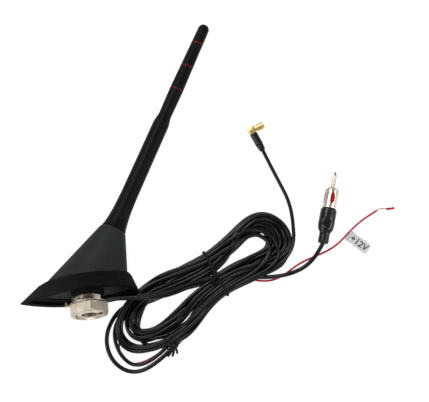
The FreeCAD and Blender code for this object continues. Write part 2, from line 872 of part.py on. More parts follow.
def make_mast_winding():
    """The antenna's helical wire round the core rod."""
    radius = size("core_r") + 0.5
    low = size("ferrule_top") + 3
    helix = Part.makeHelix(6.0, size("core_top") - 6 - low, radius)
    helix.translate(Vector(0, 0, low))
    section = Part.Wire([Part.Circle(Vector(radius, 0, low), Y_AXIS, 0.3).toShape()])
    shape = Part.Wire(helix).makePipeShell([section], True, True)
    winding = doc.addObject("Part::Feature", "mast_winding")
    winding.Shape = shape
    return keep(winding, "mast_winding", MAST)


def make_mast():
    make_mast_sheath()
    make_mast_rings()
    turned(
        "mast_ferrule",
        MAST,
        [
            ("0", "-thread_length"),
            ("thread_r", "-thread_length"),
            ("thread_r", "mast_foot"),
            ("ferrule_r", "mast_foot"),
            ("ferrule_r", "ferrule_top"),
            ("core_r + snug", "ferrule_top"),
            ("core_r + snug", "core_low"),
            ("0", "core_low"),
        ],
    )
    turned_ring("mast_core", MAST, "0", "core_r", "core_low + snug", "core_top")
    make_mast_winding()
    turned_ring("mast_seal_ring", MAST, "seal_bore_r", "seal_r", "seal_low", "seal_top")
    turned_ring("mast_socket", MAST, "thread_r + running", "socket_r - snug", "-socket_depth", "0")


# ---------------------------------------------------------------- cables
# Routes in the row frame. Each starts or ends inside the hank, where its turns begin.
FM_LEAD_IN = [
    (-7.8, -95.0, 22.3), (-1.0, -94.4, 21.5), (6.0, -93.8, 18.9), (12.6, -93.2, 15.8), (19.4, -92.7, 13.0),
    (26.6, -91.8, 10.6), (33.6, -90.2, 8.6), (40.4, -87.8, 7.0), (47.0, -84.5, 5.6),
]
DAB_LEAD_IN = [
    (-7.8, -94.7, 25.5), (-1.0, -94.1, 24.8), (6.0, -93.4, 22.2), (12.6, -92.6, 19.0), (19.4, -91.7, 16.0),
    (26.6, -90.3, 13.4), (33.6, -88.5, 11.2), (40.6, -85.9, 9.4), (47.4, -82.5, 7.9),
]
FM_LOOP = [
    (43.4, -120.0, 1.5), (37.6, -125.4, 1.5), (31.7, -131.1, 1.5), (25.6, -136.0, 1.5), (19.4, -139.7, 1.5),
    (12.8, -141.2, 1.5), (6.4, -140.0, 1.5), (0.3, -136.0, 1.5), (-4.1, -130.2, 1.5), (-6.5, -122.9, 1.5),
    (-6.5, -115.4, 1.5), (-4.3, -108.4, 1.5), (-0.5, -102.0, 1.5), (4.2, -96.4, 1.5),
]
DAB_LOOP = [
    (40.8, -118.3, 1.4), (35.2, -123.6, 1.4), (29.3, -129.2, 1.4), (23.2, -133.8, 1.4), (16.7, -136.6, 1.4),
    (10.5, -136.1, 1.4), (5.1, -131.9, 1.4), (0.9, -125.5, 1.4), (-1.2, -118.4, 1.4), (-1.2, -111.6, 1.4),
    (1.0, -105.2, 1.4), (5.2, -100.0, 1.4),
]
POWER_LOOP = [
    (39.4, -116.6, 0.75), (33.9, -121.9, 0.75), (28.2, -127.6, 0.75), (22.5, -132.0, 0.75),
    (16.8, -134.2, 0.75), (12.0, -132.4, 0.75), (9.2, -127.8, 0.75), (8.2, -122.2, 0.75),
]
DAB_LEAD_OUT = [
    (116.6, -63.2, 3.0), (120.0, -56.5, 2.4), (121.5, -49.0, 1.7), (121.2, -41.4, 1.4), (120.6, -34.0, 1.35),
    (119.3, -26.6, 1.35), (116.9, -19.2, 1.35), (113.4, -12.0, 1.4), (110.0, -5.2, 1.45), (106.7, 1.4, 1.8),
    (103.5, 7.8, 2.5), (100.5, 14.0, 2.9),
]
FM_LEAD_OUT = [
    (94.3, -76.6, 3.2), (101.2, -76.6, 2.1), (108.2, -76.1, 2.5), (115.0, -75.2, 3.4), (121.6, -73.0, 2.7),
    (127.9, -69.8, 2.5), (133.2, -65.5, 3.8), (137.2, -60.4, 5.0), (141.0, -53.6, 5.8),
]
POWER_LEAD_OUT = [
    (86.5, -76.2, 0.8), (92.1, -77.9, 0.75), (97.6, -78.8, 0.75), (103.3, -78.9, 0.75), (108.8, -77.6, 0.75),
    (113.8, -75.0, 0.75), (118.4, -71.5, 0.75), (123.2, -67.9, 0.75), (128.6, -64.8, 0.75),
    (134.4, -62.2, 0.75), (140.3, -59.8, 0.75), (145.9, -57.0, 0.75), (150.9, -53.6, 0.75),
    (155.2, -49.6, 0.75), (159.2, -45.2, 0.75), (163.6, -40.8, 0.75), (168.5, -36.6, 0.75),
    (173.8, -32.8, 0.75), (179.6, -29.1, 0.75),
]
BARE_STRANDS = [(179.6, -29.1, 0.75), (181.5, -27.9, 0.75), (183.7, -27.4, 0.75), (186.2, -27.9, 0.75)]
INSULATION_SLUG = [(186.2, -27.9, 0.85), (189.0, -28.0, 0.85), (191.8, -27.3, 0.85)]

# The hank's outline and its two eyes, (along, across) from the middle tie's centre.
HANK_CENTRE = Vector(67.1, -74.2, 0)
HANK_ANGLE = 30.0
HANK_OUTLINE = [
    (-1, 15.6), (22, 18.6), (40, 23.9), (51, 21.8), (60, 6), (58.5, -9), (47, -18.4), (28, -18),
    (2, -14.8), (-13, -17.4), (-36, -28), (-48, -29.2), (-62, -26), (-76, -20.5), (-81.6, -12),
    (-80, -0.5), (-74, 7.2), (-64.5, 13.2), (-47.5, 18.0), (-25, 17.6),
]
RIGHT_EYE = [(15, 3.2), (23, 7.4), (33.5, 7.2), (37.5, 2.8), (32.5, 1.9), (22, 1.8)]
LEFT_EYE = [
    (-64.5, -1.8), (-55, 1.6), (-45, 2.5), (-29, -0.4), (-22, -2), (-28, -4.6), (-39.5, -8.2), (-52, -9.4),
    (-62, -6.3),
]
LOWER_TIE_START = Vector(34.4, -124.4, 0)
LOWER_TIE_WAY = Vector(0.74, 0.67, 0)


def closed_curve(points):
    """A smooth closed wire through points of the hank's plane."""
    curve = Part.BSplineCurve()
    curve.interpolate(Points=[Vector(x, y, 0) for x, y in points], PeriodicFlag=True)
    return Part.Wire([curve.toShape()])


def make_hank():
    """The tied hank's outer shape, with its two open eyes."""
    face = Part.Face([closed_curve(HANK_OUTLINE), closed_curve(RIGHT_EYE), closed_curve(LEFT_EYE)])
    face.validate()
    hank = doc.addObject("Part::Feature", "cable_hank")
    hank.Shape = face.extrude(Vector(0, 0, size("hank_height")))
    return keep(hank, "cable_hank", Placement(HANK_CENTRE, Rotation(Z_AXIS, HANK_ANGLE)))


def make_middle_tie():
    """Twist tie round the hank's waist, with its two twisted ends on top."""
    radius = size("tie_r")
    half = 15.2
    top = size("hank_height")
    loop = [
        (0, 0, top),
        (0, half - 3, top - 0.2),
        (0, half, top - 3.4),
        (0, half, 4.0),
        (0, half - 3, radius),
        (0, 0, radius + 0.1),
        (0, 3 - half, radius),
        (0, -half, 4.0),
        (0, -half, top - 3.4),
        (0, 3 - half, top - 0.2),
    ]
    corners = [Vector(*point) for point in loop]
    corners = corners + [corners[0] + Vector(0, -0.02, 0)]
    ring = tube_shape(corners, radius, "middle_tie")
    long_end = tube_shape(
        [Vector(0, 1, top), Vector(-1.5, -1.5, top + 1), Vector(-3.5, -5, top + 1.2)], 0.9, "tie_end"
    )
    short_end = tube_shape(
        [Vector(-0.5, -2, top), Vector(-3.5, -3, top + 1), Vector(-7.2, -2, top + 0.9)], 0.9, "tie_end"
    )
    tie = doc.addObject("Part::Feature", "middle_tie")
    tie.Shape = ring.fuse([long_end, short_end])
    return keep(tie, "middle_tie", Placement(HANK_CENTRE, Rotation(Z_AXIS, HANK_ANGLE)))


def make_lower_tie():
    """Twist tie that gathers the loose loops against the hank's edge."""
    width = size("lower_tie_width")
    box = doc.addObject("Part::Box", "lower_tie")
    box.setExpression("Length", formula("lower_tie_length"))
    box.setExpression("Width", formula("lower_tie_width"))
    box.setExpression("Height", formula("lower_tie_height"))
    way = LOWER_TIE_WAY.normalize()
    side = Z_AXIS.cross(way)
    corner = LOWER_TIE_START - side * (width / 2)
    return keep(box, "lower_tie", Placement(corner, Rotation(way, side, Z_AXIS, "XYZ")))


def make_cables():
    tube("fm_lead_in", FM_LEAD_IN, size("fm_r"))
    tube("dab_lead_in", DAB_LEAD_IN, size("dab_r"))
    tube("fm_loose_loop", FM_LOOP, size("fm_r"))
    tube("dab_loose_loop", DAB_LOOP, size("dab_r"))
    tube("dab_lead_out", DAB_LEAD_OUT, size("dab_r"))
    tube("fm_lead_out", FM_LEAD_OUT, size("fm_r"))
    tube("power_loose_loop", POWER_LOOP, size("power_r"))
    tube("power_wire", POWER_LEAD_OUT, size("power_r"))
    tube("bare_strands", BARE_STRANDS, 0.45)
    tube("insulation_slug", INSULATION_SLUG, 0.85)
    make_hank()
    make_middle_tie()
    make_lower_tie()


# ---------------------------------------------------------------- connectors
SMB_CENTRE = Vector(92.8, 28.3, size("smb_z"))
SMB_BARREL_WAY = Vector(0.88, 0.475, 0)
SMB_BOOT_WAY = Vector(0.475, -0.88, 0)
DIN_START = Vector(141.0, -53.6, size("din_z"))
DIN_WAY = Vector(0.194, 0.981, 0)


def make_smb():
    """Right-angle SMB socket: elbow block, slotted barrel, insulator, contact and boot."""
    body = new_body("smb_elbow", Placement(SMB_CENTRE, Rotation(SMB_BARREL_WAY, Y_AXIS, Z_AXIS, "XZY")))
    block = new_sketch(body, "elbow_outline", lift="-elbow_side / 2")
    half = "elbow_side / 2"
    draw_rectangle(block, "-elbow_side / 2", half, "-elbow_side / 2", half)
    pad(body, "elbow_pad", block, "elbow_side")
    barrel = along(SMB_CENTRE, SMB_BARREL_WAY)
    turned(
        "smb_barrel",
        barrel,
        [
            ("smb_bore_r", half),
            ("smb_barrel_r - 0.3", half),
            ("smb_barrel_r - 0.3", "elbow_side / 2 + 2"),
            ("smb_barrel_r", "elbow_side / 2 + 2.3"),
            ("smb_barrel_r", "elbow_side / 2 + smb_barrel_length - 0.3"),
            ("smb_barrel_r - 0.3", "elbow_side / 2 + smb_barrel_length"),
            ("smb_bore_r", "elbow_side / 2 + smb_barrel_length"),
        ],
    )
    turned_ring("smb_insulator", barrel, "0.55", "smb_bore_r - snug", half, "elbow_side / 2 + 3.4")
    turned_ring("smb_contact", barrel, "0", "0.5", half, "elbow_side / 2 + 5.6")
    boot = along(SMB_CENTRE, SMB_BOOT_WAY)
    turned(
        "smb_boot",
        boot,
        [
            ("0", half),
            ("smb_boot_r", half),
            ("smb_boot_r", "elbow_side / 2 + 9"),
            ("smb_boot_end_r + 0.3", "elbow_side / 2 + 10.6"),
            ("smb_boot_end_r", "elbow_side / 2 + smb_boot_length - 2.6"),
            ("0", "elbow_side / 2 + smb_boot_length - 2.6"),
        ],
    )


def make_din():
    """Aerial plug: moulded boot, slotted spring shell, insulator and long centre pin."""
    place = along(DIN_START, DIN_WAY)
    turned(
        "din_boot",
        place,
        [
            ("0", "0"),
            ("din_neck_r - 0.4", "0"),
            ("din_neck_r", "0.8"),
            ("din_neck_r - 0.2", "7"),
            ("din_boot_r - 0.3", "10.5"),
            ("din_boot_r", "13"),
            ("din_boot_r", "din_boot_length - 1.2"),
            ("din_boot_r - 1.2", "din_boot_length"),
            ("0", "din_boot_length"),
        ],
    )
    shell_end = "din_boot_length + din_shell_length"
    shell = turned(
        "din_shell",
        place,
        [
            ("din_shell_r - din_shell_wall", "din_boot_length"),
            ("din_shell_r", "din_boot_length"),
            ("din_shell_r", shell_end + " - 1"),
            ("din_shell_r - 0.5", shell_end),
            ("din_shell_r - 0.9", shell_end),
            ("din_shell_r - din_shell_wall", shell_end + " - 1"),
        ],
    )
    slit = new_sketch(shell, "shell_slit", "XZ_Plane")
    draw_polygon(
        slit,
        [
            ("0", "din_boot_length + 2.2"),
            ("din_slot_width / 2", "din_boot_length + 5"),
            ("din_slot_width / 2", "din_boot_length + 8.5"),
            ("0.45", "din_boot_length + 11.5"),
            ("0.45", shell_end + " + 1"),
            ("-0.45", shell_end + " + 1"),
            ("-0.45", "din_boot_length + 11.5"),
            ("-din_slot_width / 2", "din_boot_length + 8.5"),
            ("-din_slot_width / 2", "din_boot_length + 5"),
        ],
    )
    slits = pocket(shell, "shell_slit_cut", slit, "din_shell_r + 2")
    ring = shell.newObject("PartDesign::PolarPattern", "shell_slits")
    ring.Originals = [slits]
    ring.Axis = (origin_feature(shell, "Z_Axis"), [""])
    ring.Angle = FULL_TURN
    ring.Occurrences = 4
    shell.Tip = ring
    filling_r = "din_shell_r - din_shell_wall - 0.5"
    filling_end = shell_end + " - 2.5"
    turned_ring("din_insulator", place, "din_shank_r + snug", filling_r, "din_boot_length", filling_end)
    pin_end = shell_end + " + din_pin_length"
    turned(
        "din_pin",
        place,
        [
            ("0", "din_boot_length"),
            ("din_shank_r", "din_boot_length"),
            ("din_shank_r", shell_end),
            ("din_pin_r", shell_end),
            ("din_pin_r", pin_end + " - 2.4"),
            ("din_pin_r - 0.9", pin_end),
            ("0", pin_end),
        ],
    )


def make_flag():
    """Folded adhesive marker on the power wire: a sleeve round the wire and a flat flag."""
    low = Vector(157.0, -48.3, 0)
    way = Vector(0.66, 0.75, 0).normalize()
    place = Placement(low, Rotation(way, Y_AXIS, Z_AXIS, "XZY"))
    body = new_body("power_flag", place)
    flag = new_sketch(body, "flag_outline", lift="0.6")
    draw_rectangle(flag, "0", "flag_width", "-flag_length", "0")
    pad(body, "flag_pad", flag, "flag_thick")
    corners = round_edges(
        body,
        "flag_corners",
        "1.2",
        lambda edge: edge.BoundBox.YMax < -16 and edge.BoundBox.ZLength > 0.3,
    )
    body.Tip = corners
    return body


make_base()
make_circuit()
make_mast()
make_cables()
make_smb()
make_din()
make_flag()
sheet.clear("D1")
doc.recompute()

# ---------------------------------------------------------------- checks and export
broken = [item.Label for item in doc.Objects if {"Invalid", "Error"} & set(item.State)]
if broken:
    raise RuntimeError(f"failed objects: {broken}")
os.makedirs("parts", exist_ok=True)
for node in nodes:
    shape = node.Shape
    if shape.isNull() or not shape.isValid() or shape.Volume <= 0:
        raise RuntimeError(f"bad shape: {node.Label}")
    shape.exportStep(f"parts/{node.Label}.step")
    box = shape.BoundBox
    reach = ", ".join(
        f"{low:.1f}..{high:.1f}"
        for low, high in ((box.XMin, box.XMax), (box.YMin, box.YMax), (box.ZMin, box.ZMax))
    )
    print(f"{node.Label}: {len(shape.Solids)} solid(s), {shape.Volume:.1f} mm3, {reach}")
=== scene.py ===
"""Car roof antenna with its tied hank of cable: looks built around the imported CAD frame.

The scene is in metres. Shapes are written in the row's millimetres and multiplied by MM.
"""

import json
import math
import random

import bmesh
import bpy
import numpy as np
from mathutils import Matrix, Vector


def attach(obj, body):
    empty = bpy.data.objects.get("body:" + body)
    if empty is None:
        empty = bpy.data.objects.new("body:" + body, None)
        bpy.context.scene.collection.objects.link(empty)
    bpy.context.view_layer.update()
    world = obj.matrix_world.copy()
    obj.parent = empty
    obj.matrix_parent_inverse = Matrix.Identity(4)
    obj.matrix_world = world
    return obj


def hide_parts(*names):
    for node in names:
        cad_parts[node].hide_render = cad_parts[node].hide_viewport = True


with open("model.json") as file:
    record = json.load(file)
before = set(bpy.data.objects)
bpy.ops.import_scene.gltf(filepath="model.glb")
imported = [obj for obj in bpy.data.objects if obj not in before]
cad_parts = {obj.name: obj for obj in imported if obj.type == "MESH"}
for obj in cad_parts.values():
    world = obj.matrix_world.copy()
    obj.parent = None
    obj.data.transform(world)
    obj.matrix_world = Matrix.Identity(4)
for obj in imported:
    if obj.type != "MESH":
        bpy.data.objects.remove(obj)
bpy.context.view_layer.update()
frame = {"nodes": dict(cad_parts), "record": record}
NODES = frame["nodes"]
MM = 0.001
FM_R, DAB_R, POWER_R = 1.45, 1.3, 0.7  # radii of the three cords


# ------------------------------------------------------------------ camera, light and floor
LENS, SENSOR = 96, 36
CAMERA_PLACE = (0.0665, -0.2156, 0.7762)
CAMERA_TILT = math.radians(14)
WORLD_LIGHT = 0.3
FLOOR_HALF, FLOOR_GREY, FLOOR_GLOW = 3.0, 0.17, 0.9
# Name, place, target, (width, height) and power of each lamp, in metres and watts.
LAMPS = (
    ("key", (-0.35, 0.75, 1.1), (0.07, -0.03, 0), (0.7, 0.35), 14),
    ("left", (-1.2, -0.3, 0.9), (0.07, -0.05, 0), (0.6, 1.0), 11),
    ("right", (1.3, -0.2, 0.9), (0.07, -0.05, 0), (0.6, 1.0), 11),
    ("front", (0.1, -1.3, 0.7), (0.07, -0.05, 0), (1.2, 0.4), 10),
)


def add_object(name, data):
    """Puts new mesh, curve, light or camera data into the scene."""
    piece = bpy.data.objects.new(name, data)
    bpy.context.scene.collection.objects.link(piece)
    return piece


def area_light(name, place, target, size, power):
    light = bpy.data.lights.new(name, "AREA")
    light.shape = "RECTANGLE"
    light.size, light.size_y = size
    light.energy = power
    holder = add_object(name, light)
    holder.location = place
    holder.rotation_euler = (Vector(target) - Vector(place)).to_track_quat("-Z", "Y").to_euler()


def set_camera():
    camera = bpy.data.cameras.new("camera")
    camera.sensor_width = SENSOR
    camera.lens = LENS
    camera.clip_start = 0.05
    holder = add_object("camera", camera)
    holder.location = CAMERA_PLACE
    holder.rotation_euler = (CAMERA_TILT, 0, 0)
    bpy.context.scene.camera = holder


def set_light():
    world = bpy.data.worlds.new("studio")
    bpy.context.scene.world = world
    world.use_nodes = True
    sky = world.node_tree.nodes["Background"]
    sky.inputs["Color"].default_value = (1, 1, 1, 1)
    sky.inputs["Strength"].default_value = WORLD_LIGHT
    for lamp in LAMPS:
        area_light(*lamp)
    bpy.context.scene.view_settings.view_transform = "Standard"


def set_floor():
    """A wide pale floor that glows a little, so that it stays near white under the lamps."""
    floor = bpy.data.meshes.new("floor")
    half = FLOOR_HALF
    corners = [(-half, -half, 0), (half, -half, 0), (half, half, 0), (-half, half, 0)]
    floor.from_pydata(corners, [], [(0, 1, 2, 3)])
    stage = add_object("floor", floor)
    paint = bpy.data.materials.new("floor_paint")
    paint.use_nodes = True
    shader = paint.node_tree.nodes["Principled BSDF"]
    shader.inputs["Base Color"].default_value = (FLOOR_GREY, FLOOR_GREY, FLOOR_GREY, 1)
    shader.inputs["Roughness"].default_value = 0.9
    shader.inputs["Emission Color"].default_value = (1.0, 1.0, 1.0, 1)
    shader.inputs["Emission Strength"].default_value = FLOOR_GLOW
    floor.materials.append(paint)


set_camera()
set_light()
set_floor()

# ------------------------------------------------------------------ the hank's turns
CENTRE = np.array([67.1, -74.2])
ALONG = np.array([math.cos(math.radians(30)), math.sin(math.radians(30))])
ACROSS = np.array([-ALONG[1], ALONG[0]])
# Stations round one turn, counter-clockwise from the waist's lower side: inner and outer edge of the
# bundle, each (along, across) from the middle tie's centre.
STATIONS = [
    ((0, -0.5), (1, -14.8)), ((15, 1.0), (16, -16.2)), ((28, 0), (29, -18)), ((38.5, -1.6), (46, -18.4)),
    ((45, 0.4), (58.5, -9)), ((47, 5.5), (60, 6)), ((44.4, 11), (53, 20.5)), ((36.5, 12.8), (40, 23.9)),
    ((24, 9.2), (22, 18.8)), ((13, 4.4), (11, 16.8)), ((0, 0.5), (-1, 15.4)), ((-12, 0.6), (-12, 16.4)),
    ((-25, 1.2), (-25, 17.6)), ((-42, 4.6), (-46, 18.0)), ((-54, 5.0), (-63, 13.4)),
    ((-62.5, 2.8), (-74, 7.0)), ((-66.5, -2.0), (-80.5, -1.5)), ((-66, -7.2), (-81.4, -12)),
    ((-61, -11.2), (-75, -21)), ((-51, -12), (-60, -26.5)), ((-39.5, -9), (-46, -29)),
    ((-28, -4.6), (-34, -27.2)), ((-20, -2.4), (-21, -21)), ((-10, -1.2), (-11, -16.8)),
]
ROUND = len(STATIONS)
STEP = 0.25  # stations from one wound point to the next
TURNS = 7
WOUND_FROM, FM_STOP, DAB_STOP = 0.5, TURNS * ROUND + 0.25, TURNS * ROUND + 2.5
LOOP_TURN, LOOP_LEAVES, LOOP_RETURNS = 3, 14, 22  # whole turns before the loose one, and its stations
KNOTS = 5  # places in each turn where a cord's lane is drawn anew
LANE_SEED, HEIGHT_SEED = 3, 5
LAST_LANES = [0.9, 0.9]  # both cables leave near the bundle's outer edge
LAYERS, LOWEST, LAYER_STEP = 3, 1.6, 2.7  # how many layers the turns lie in, and their heights in mm
HEIGHT_SPREAD, DAB_HEIGHT_SPREAD = 0.3, 0.5
FM_SHIFT, DAB_SHIFT = -0.9, 1.6  # mm that keep the two cables side by side
EDGE_ROOM = 1.1  # mm between a cord and the bundle's inner edge
STRAY_LIFT = 3  # mm that a stray strand rises
POWER_HEIGHT = 0.75  # mm, just off the floor


def row_point(pair, height):
    """A row-frame point from (along, across) in the hank's plane and a height, all mm."""
    spot = CENTRE + ALONG * pair[0] + ACROSS * pair[1]
    return np.array([spot[0], spot[1], height])


def cubic(a, b, c, d, t):
    """Catmull-Rom between b and c."""
    return 0.5 * (2 * b + (c - a) * t + (2 * a - 5 * b + 4 * c - d) * t**2 + (3 * b - a - 3 * c + d) * t**3)


def edge(which, s):
    """The bundle's inner (0) or outer (1) edge at a fractional station."""
    k = math.floor(s)
    near = [np.array(STATIONS[(k + j) % ROUND][which], float) for j in (-1, 0, 1, 2)]
    return cubic(*near, s - k)


def lane_table(seed):
    """Lane of each turn at each knot, so that at every knot the turns share the bundle's width evenly."""
    rng = np.random.default_rng(seed)
    table = np.zeros((TURNS, KNOTS))
    for knot in range(KNOTS):
        order = np.argsort(np.argsort(np.arange(TURNS) * 0.8 + rng.normal(0, 0.75, TURNS)))
        table[:, knot] = (order + 0.5) / TURNS
    return table


def smooth_value(values, s):
    """A value that eases between knots along the whole winding; s counts stations from its start."""
    place = s / ROUND * KNOTS
    k = math.floor(place)
    near = [values[min(max(k + j, 0), len(values) - 1)] for j in (-1, 0, 1, 2)]
    return float(cubic(*near, place - k))


def winding(lanes, heights, start, stop, radius, shift, strays=()):
    """Close points of a cord from one station count to another.

    A stray is (from, to, share): a stretch where the cord leaves its lane towards that share.
    """
    points = []
    for s in np.arange(start, stop + 1e-6, STEP):
        inner, outer = edge(0, s % ROUND), edge(1, s % ROUND)
        width = np.linalg.norm(outer - inner)
        share = smooth_value(lanes, s) + shift / width
        share = min(max(share, (radius + EDGE_ROOM) / width), 1 - radius / width)
        height = smooth_value(heights, s)
        for leave, back, target in strays:
            if leave < s < back:
                reach = math.sin(math.pi * (s - leave) / (back - leave)) ** 2
                share += (target - share) * reach
                height += STRAY_LIFT * reach
        points.append(row_point(inner + (outer - inner) * share, height))
    return points


FM_LEAD_IN = [
    (-7.8, -95.0, 22.3), (-1.0, -94.4, 21.5), (6.0, -93.8, 18.9), (12.6, -93.2, 15.8), (19.4, -92.7, 13.0),
    (26.6, -91.8, 10.6), (33.6, -90.2, 8.6), (40.4, -87.8, 7.0), (47.0, -84.5, 5.6),
]
DAB_LEAD_IN = [
    (-7.8, -94.7, 25.5), (-1.0, -94.1, 24.8), (6.0, -93.4, 22.2), (12.6, -92.6, 19.0), (19.4, -91.7, 16.0),
    (26.6, -90.3, 13.4), (33.6, -88.5, 11.2), (40.6, -85.9, 9.4), (47.4, -82.5, 7.9),
]
FM_LOOP = [
    (43.4, -120.0, 1.5), (37.6, -125.4, 1.5), (31.7, -131.1, 1.5), (25.6, -136.0, 1.5), (19.4, -139.7, 1.5),
    (12.8, -141.2, 1.5), (6.4, -140.0, 1.5), (0.3, -136.0, 1.5), (-4.1, -130.2, 1.5), (-6.5, -122.9, 1.5),
    (-6.5, -115.4, 1.5), (-4.3, -108.4, 1.5), (-0.5, -102.0, 1.5), (4.2, -96.4, 1.5),
]
DAB_LOOP = [
    (40.8, -118.3, 1.9), (35.2, -123.6, 2.6), (29.3, -129.2, 2.8), (23.2, -133.8, 2.8), (16.7, -136.6, 2.8),
    (10.5, -136.1, 2.8), (5.1, -131.9, 2.8), (0.9, -125.5, 2.8), (-1.2, -118.4, 2.4), (-1.2, -111.6, 1.6),
    (1.0, -105.2, 1.4), (5.2, -100.0, 1.4),
]
POWER_LOOP = [
    (40.2, -117.6, 0.75), (34.8, -123.0, 0.75), (28.9, -128.5, 0.75), (22.8, -132.4, 0.75),
    (16.8, -134.9, 0.75), (10.6, -135.7, 0.75), (5.3, -131.8, 0.75), (1.5, -125.6, 0.75), (2.4, -119.8, 0.75),
]
DAB_LEAD_OUT = [
    (116.6, -63.2, 3.0), (120.0, -56.5, 2.4), (121.5, -49.0, 1.7), (121.2, -41.4, 1.4), (120.6, -34.0, 1.35),
    (119.3, -26.6, 1.35), (116.9, -19.2, 1.35), (113.4, -12.0, 1.4), (110.0, -5.2, 1.45), (106.7, 1.4, 1.8),
    (103.5, 7.8, 2.5), (100.5, 14.0, 2.9),
]
FM_LEAD_OUT = [
    (94.3, -76.6, 3.2), (101.2, -76.6, 2.1), (108.2, -76.1, 2.5), (115.0, -75.2, 3.4), (121.6, -73.0, 2.7),
    (127.9, -69.8, 2.5), (133.2, -65.5, 3.8), (137.2, -60.4, 5.0), (141.0, -53.6, 5.8),
]
POWER_LEAD_OUT = [
    (86.5, -76.2, 0.8), (92.1, -77.9, 0.75), (97.6, -78.8, 0.75), (103.3, -78.9, 0.75), (108.8, -77.6, 0.75),
    (113.8, -75.0, 0.75), (118.4, -71.5, 0.75), (123.2, -67.9, 0.75), (128.6, -64.8, 0.75),
    (134.4, -62.2, 0.75), (140.3, -59.8, 0.75), (145.9, -57.0, 0.75), (150.9, -53.6, 0.75),
    (155.2, -49.6, 0.75), (159.2, -45.2, 0.75), (163.6, -40.8, 0.75), (168.5, -36.6, 0.75),
    (173.8, -32.8, 0.75), (179.6, -29.1, 0.75),
]
# Where each cable joins the lower side of the waist after its lead-in: (along, across), height.
FM_JOIN = [((-14, -1.2), 6.9), ((-7.4, -2.9), 7.6)]
DAB_JOIN = [((-13.4, 1.4), 9.0), ((-6.6, -0.6), 8.6)]
# Stretches where a strand leaves the bundle and crosses an eye: from and to (stations), share.
FM_STRAYS = ((4 * ROUND + 11, 4 * ROUND + 20, -0.12), (5 * ROUND + 1, 5 * ROUND + 10, -0.28))
DAB_STRAYS = ((5 * ROUND + 2, 5 * ROUND + 9, -0.1), (6 * ROUND + 11.5, 6 * ROUND + 19.5, -0.34))
BARE_STRANDS = [(179.6, -29.1, 0.75), (181.5, -27.9, 0.75), (183.7, -27.4, 0.75), (186.2, -27.9, 0.75)]
INSULATION_SLUG = [(186.2, -27.9, 0.85), (189.0, -28.0, 0.85), (191.8, -27.3, 0.85)]


class Cord:
    """One cord's points in order, and which of them stay held while the others settle."""

    def __init__(self, name, radius):
        self.name = name
        self.radius = radius
        self.points = []
        self.held = []

    def add(self, points, held):
        for point in points:
            self.points.append(np.array(point, float))
            self.held.append(held)


def wind_cords():
    """The two cables and the red lead, as points from end to end.

    Each cable comes down over the left part and joins the lower side at the waist. Three turns later
    it makes its loose turn at the lower left, and then the rest of its turns. The red lead has no
    turns: it starts beside its loose turn, passes under the hank and comes out on the right.
    """
    lanes = list(lane_table(LANE_SEED).reshape(-1)) + LAST_LANES
    rng = np.random.default_rng(HEIGHT_SEED)
    heights = []
    for k in range(len(lanes)):
        layer = (k // KNOTS) % LAYERS
        heights.append(LOWEST + LAYER_STEP * layer + rng.normal(0, HEIGHT_SPREAD))
    heights_dab = [height + rng.normal(0, DAB_HEIGHT_SPREAD) for height in heights]
    fm, dab, power = Cord("fm_cable", FM_R), Cord("dab_cable", DAB_R), Cord("power_lead", POWER_R)
    leave, back = LOOP_TURN * ROUND + LOOP_LEAVES, LOOP_TURN * ROUND + LOOP_RETURNS
    fm.add(FM_LEAD_IN, True)
    fm.add([row_point(*place) for place in FM_JOIN], False)
    fm.add(winding(lanes, heights, WOUND_FROM, leave, FM_R, FM_SHIFT), False)
    fm.add(FM_LOOP[::-1], True)
    fm.add(winding(lanes, heights, back, FM_STOP, FM_R, FM_SHIFT, FM_STRAYS), False)
    fm.add(FM_LEAD_OUT, True)
    dab.add(DAB_LEAD_IN, True)
    dab.add([row_point(*place) for place in DAB_JOIN], False)
    dab.add(winding(lanes, heights_dab, WOUND_FROM, leave, DAB_R, DAB_SHIFT), False)
    dab.add(DAB_LOOP[::-1], True)
    dab.add(winding(lanes, heights_dab, back, DAB_STOP, DAB_R, DAB_SHIFT, DAB_STRAYS), False)
    dab.add(DAB_LEAD_OUT, True)
    low, middle, outer = ([value] * len(lanes) for value in (POWER_HEIGHT, 0.55, 0.8))
    power.add(winding(middle, low, 13, 16.5, POWER_R, 0), True)
    power.add(POWER_LOOP[::-1], True)
    power.add(winding(outer, low, 22.5, ROUND, POWER_R, 0), True)
    power.add(POWER_LEAD_OUT, True)
    return [fm, dab, power]


# How wound cords settle. Lengths are in mm.
NEAR = 6.0  # points closer than this are watched, and the watched pairs are found afresh now and then
ROUNDS, LOOK_AGAIN = 260, 8
NEIGHBOURS = 3  # points along one cord that never push each other
SPARE = 1.02  # distance kept between two cords' middles, over the sum of their radii
PUSH, LARGEST_MOVE = 0.55, 1.2  # share of an overlap cleared in a round, and the longest move
SMOOTHING, PULL_HOME = 0.28, 0.06  # shares of the way to the neighbours' middle and to the first place
SINK, FLOOR_GAP = 0.03, 0.03


def redivide(cord, spacing=3.2):
    """Even spacing along the cord, keeping which stretches are held."""
    points = np.array(cord.points)
    held = np.array(cord.held)
    runs = np.linalg.norm(np.diff(points, axis=0), axis=1)
    reach = np.concatenate([[0], np.cumsum(runs)])
    count = max(2, int(round(reach[-1] / spacing)))
    where = np.linspace(0, reach[-1], count + 1)
    out = np.stack([np.interp(where, reach, points[:, k]) for k in range(3)], axis=1)
    nearest = np.clip(np.searchsorted(reach, where), 0, len(points) - 1)
    before = np.clip(nearest - 1, 0, len(points) - 1)
    return out, held[nearest] & held[before]


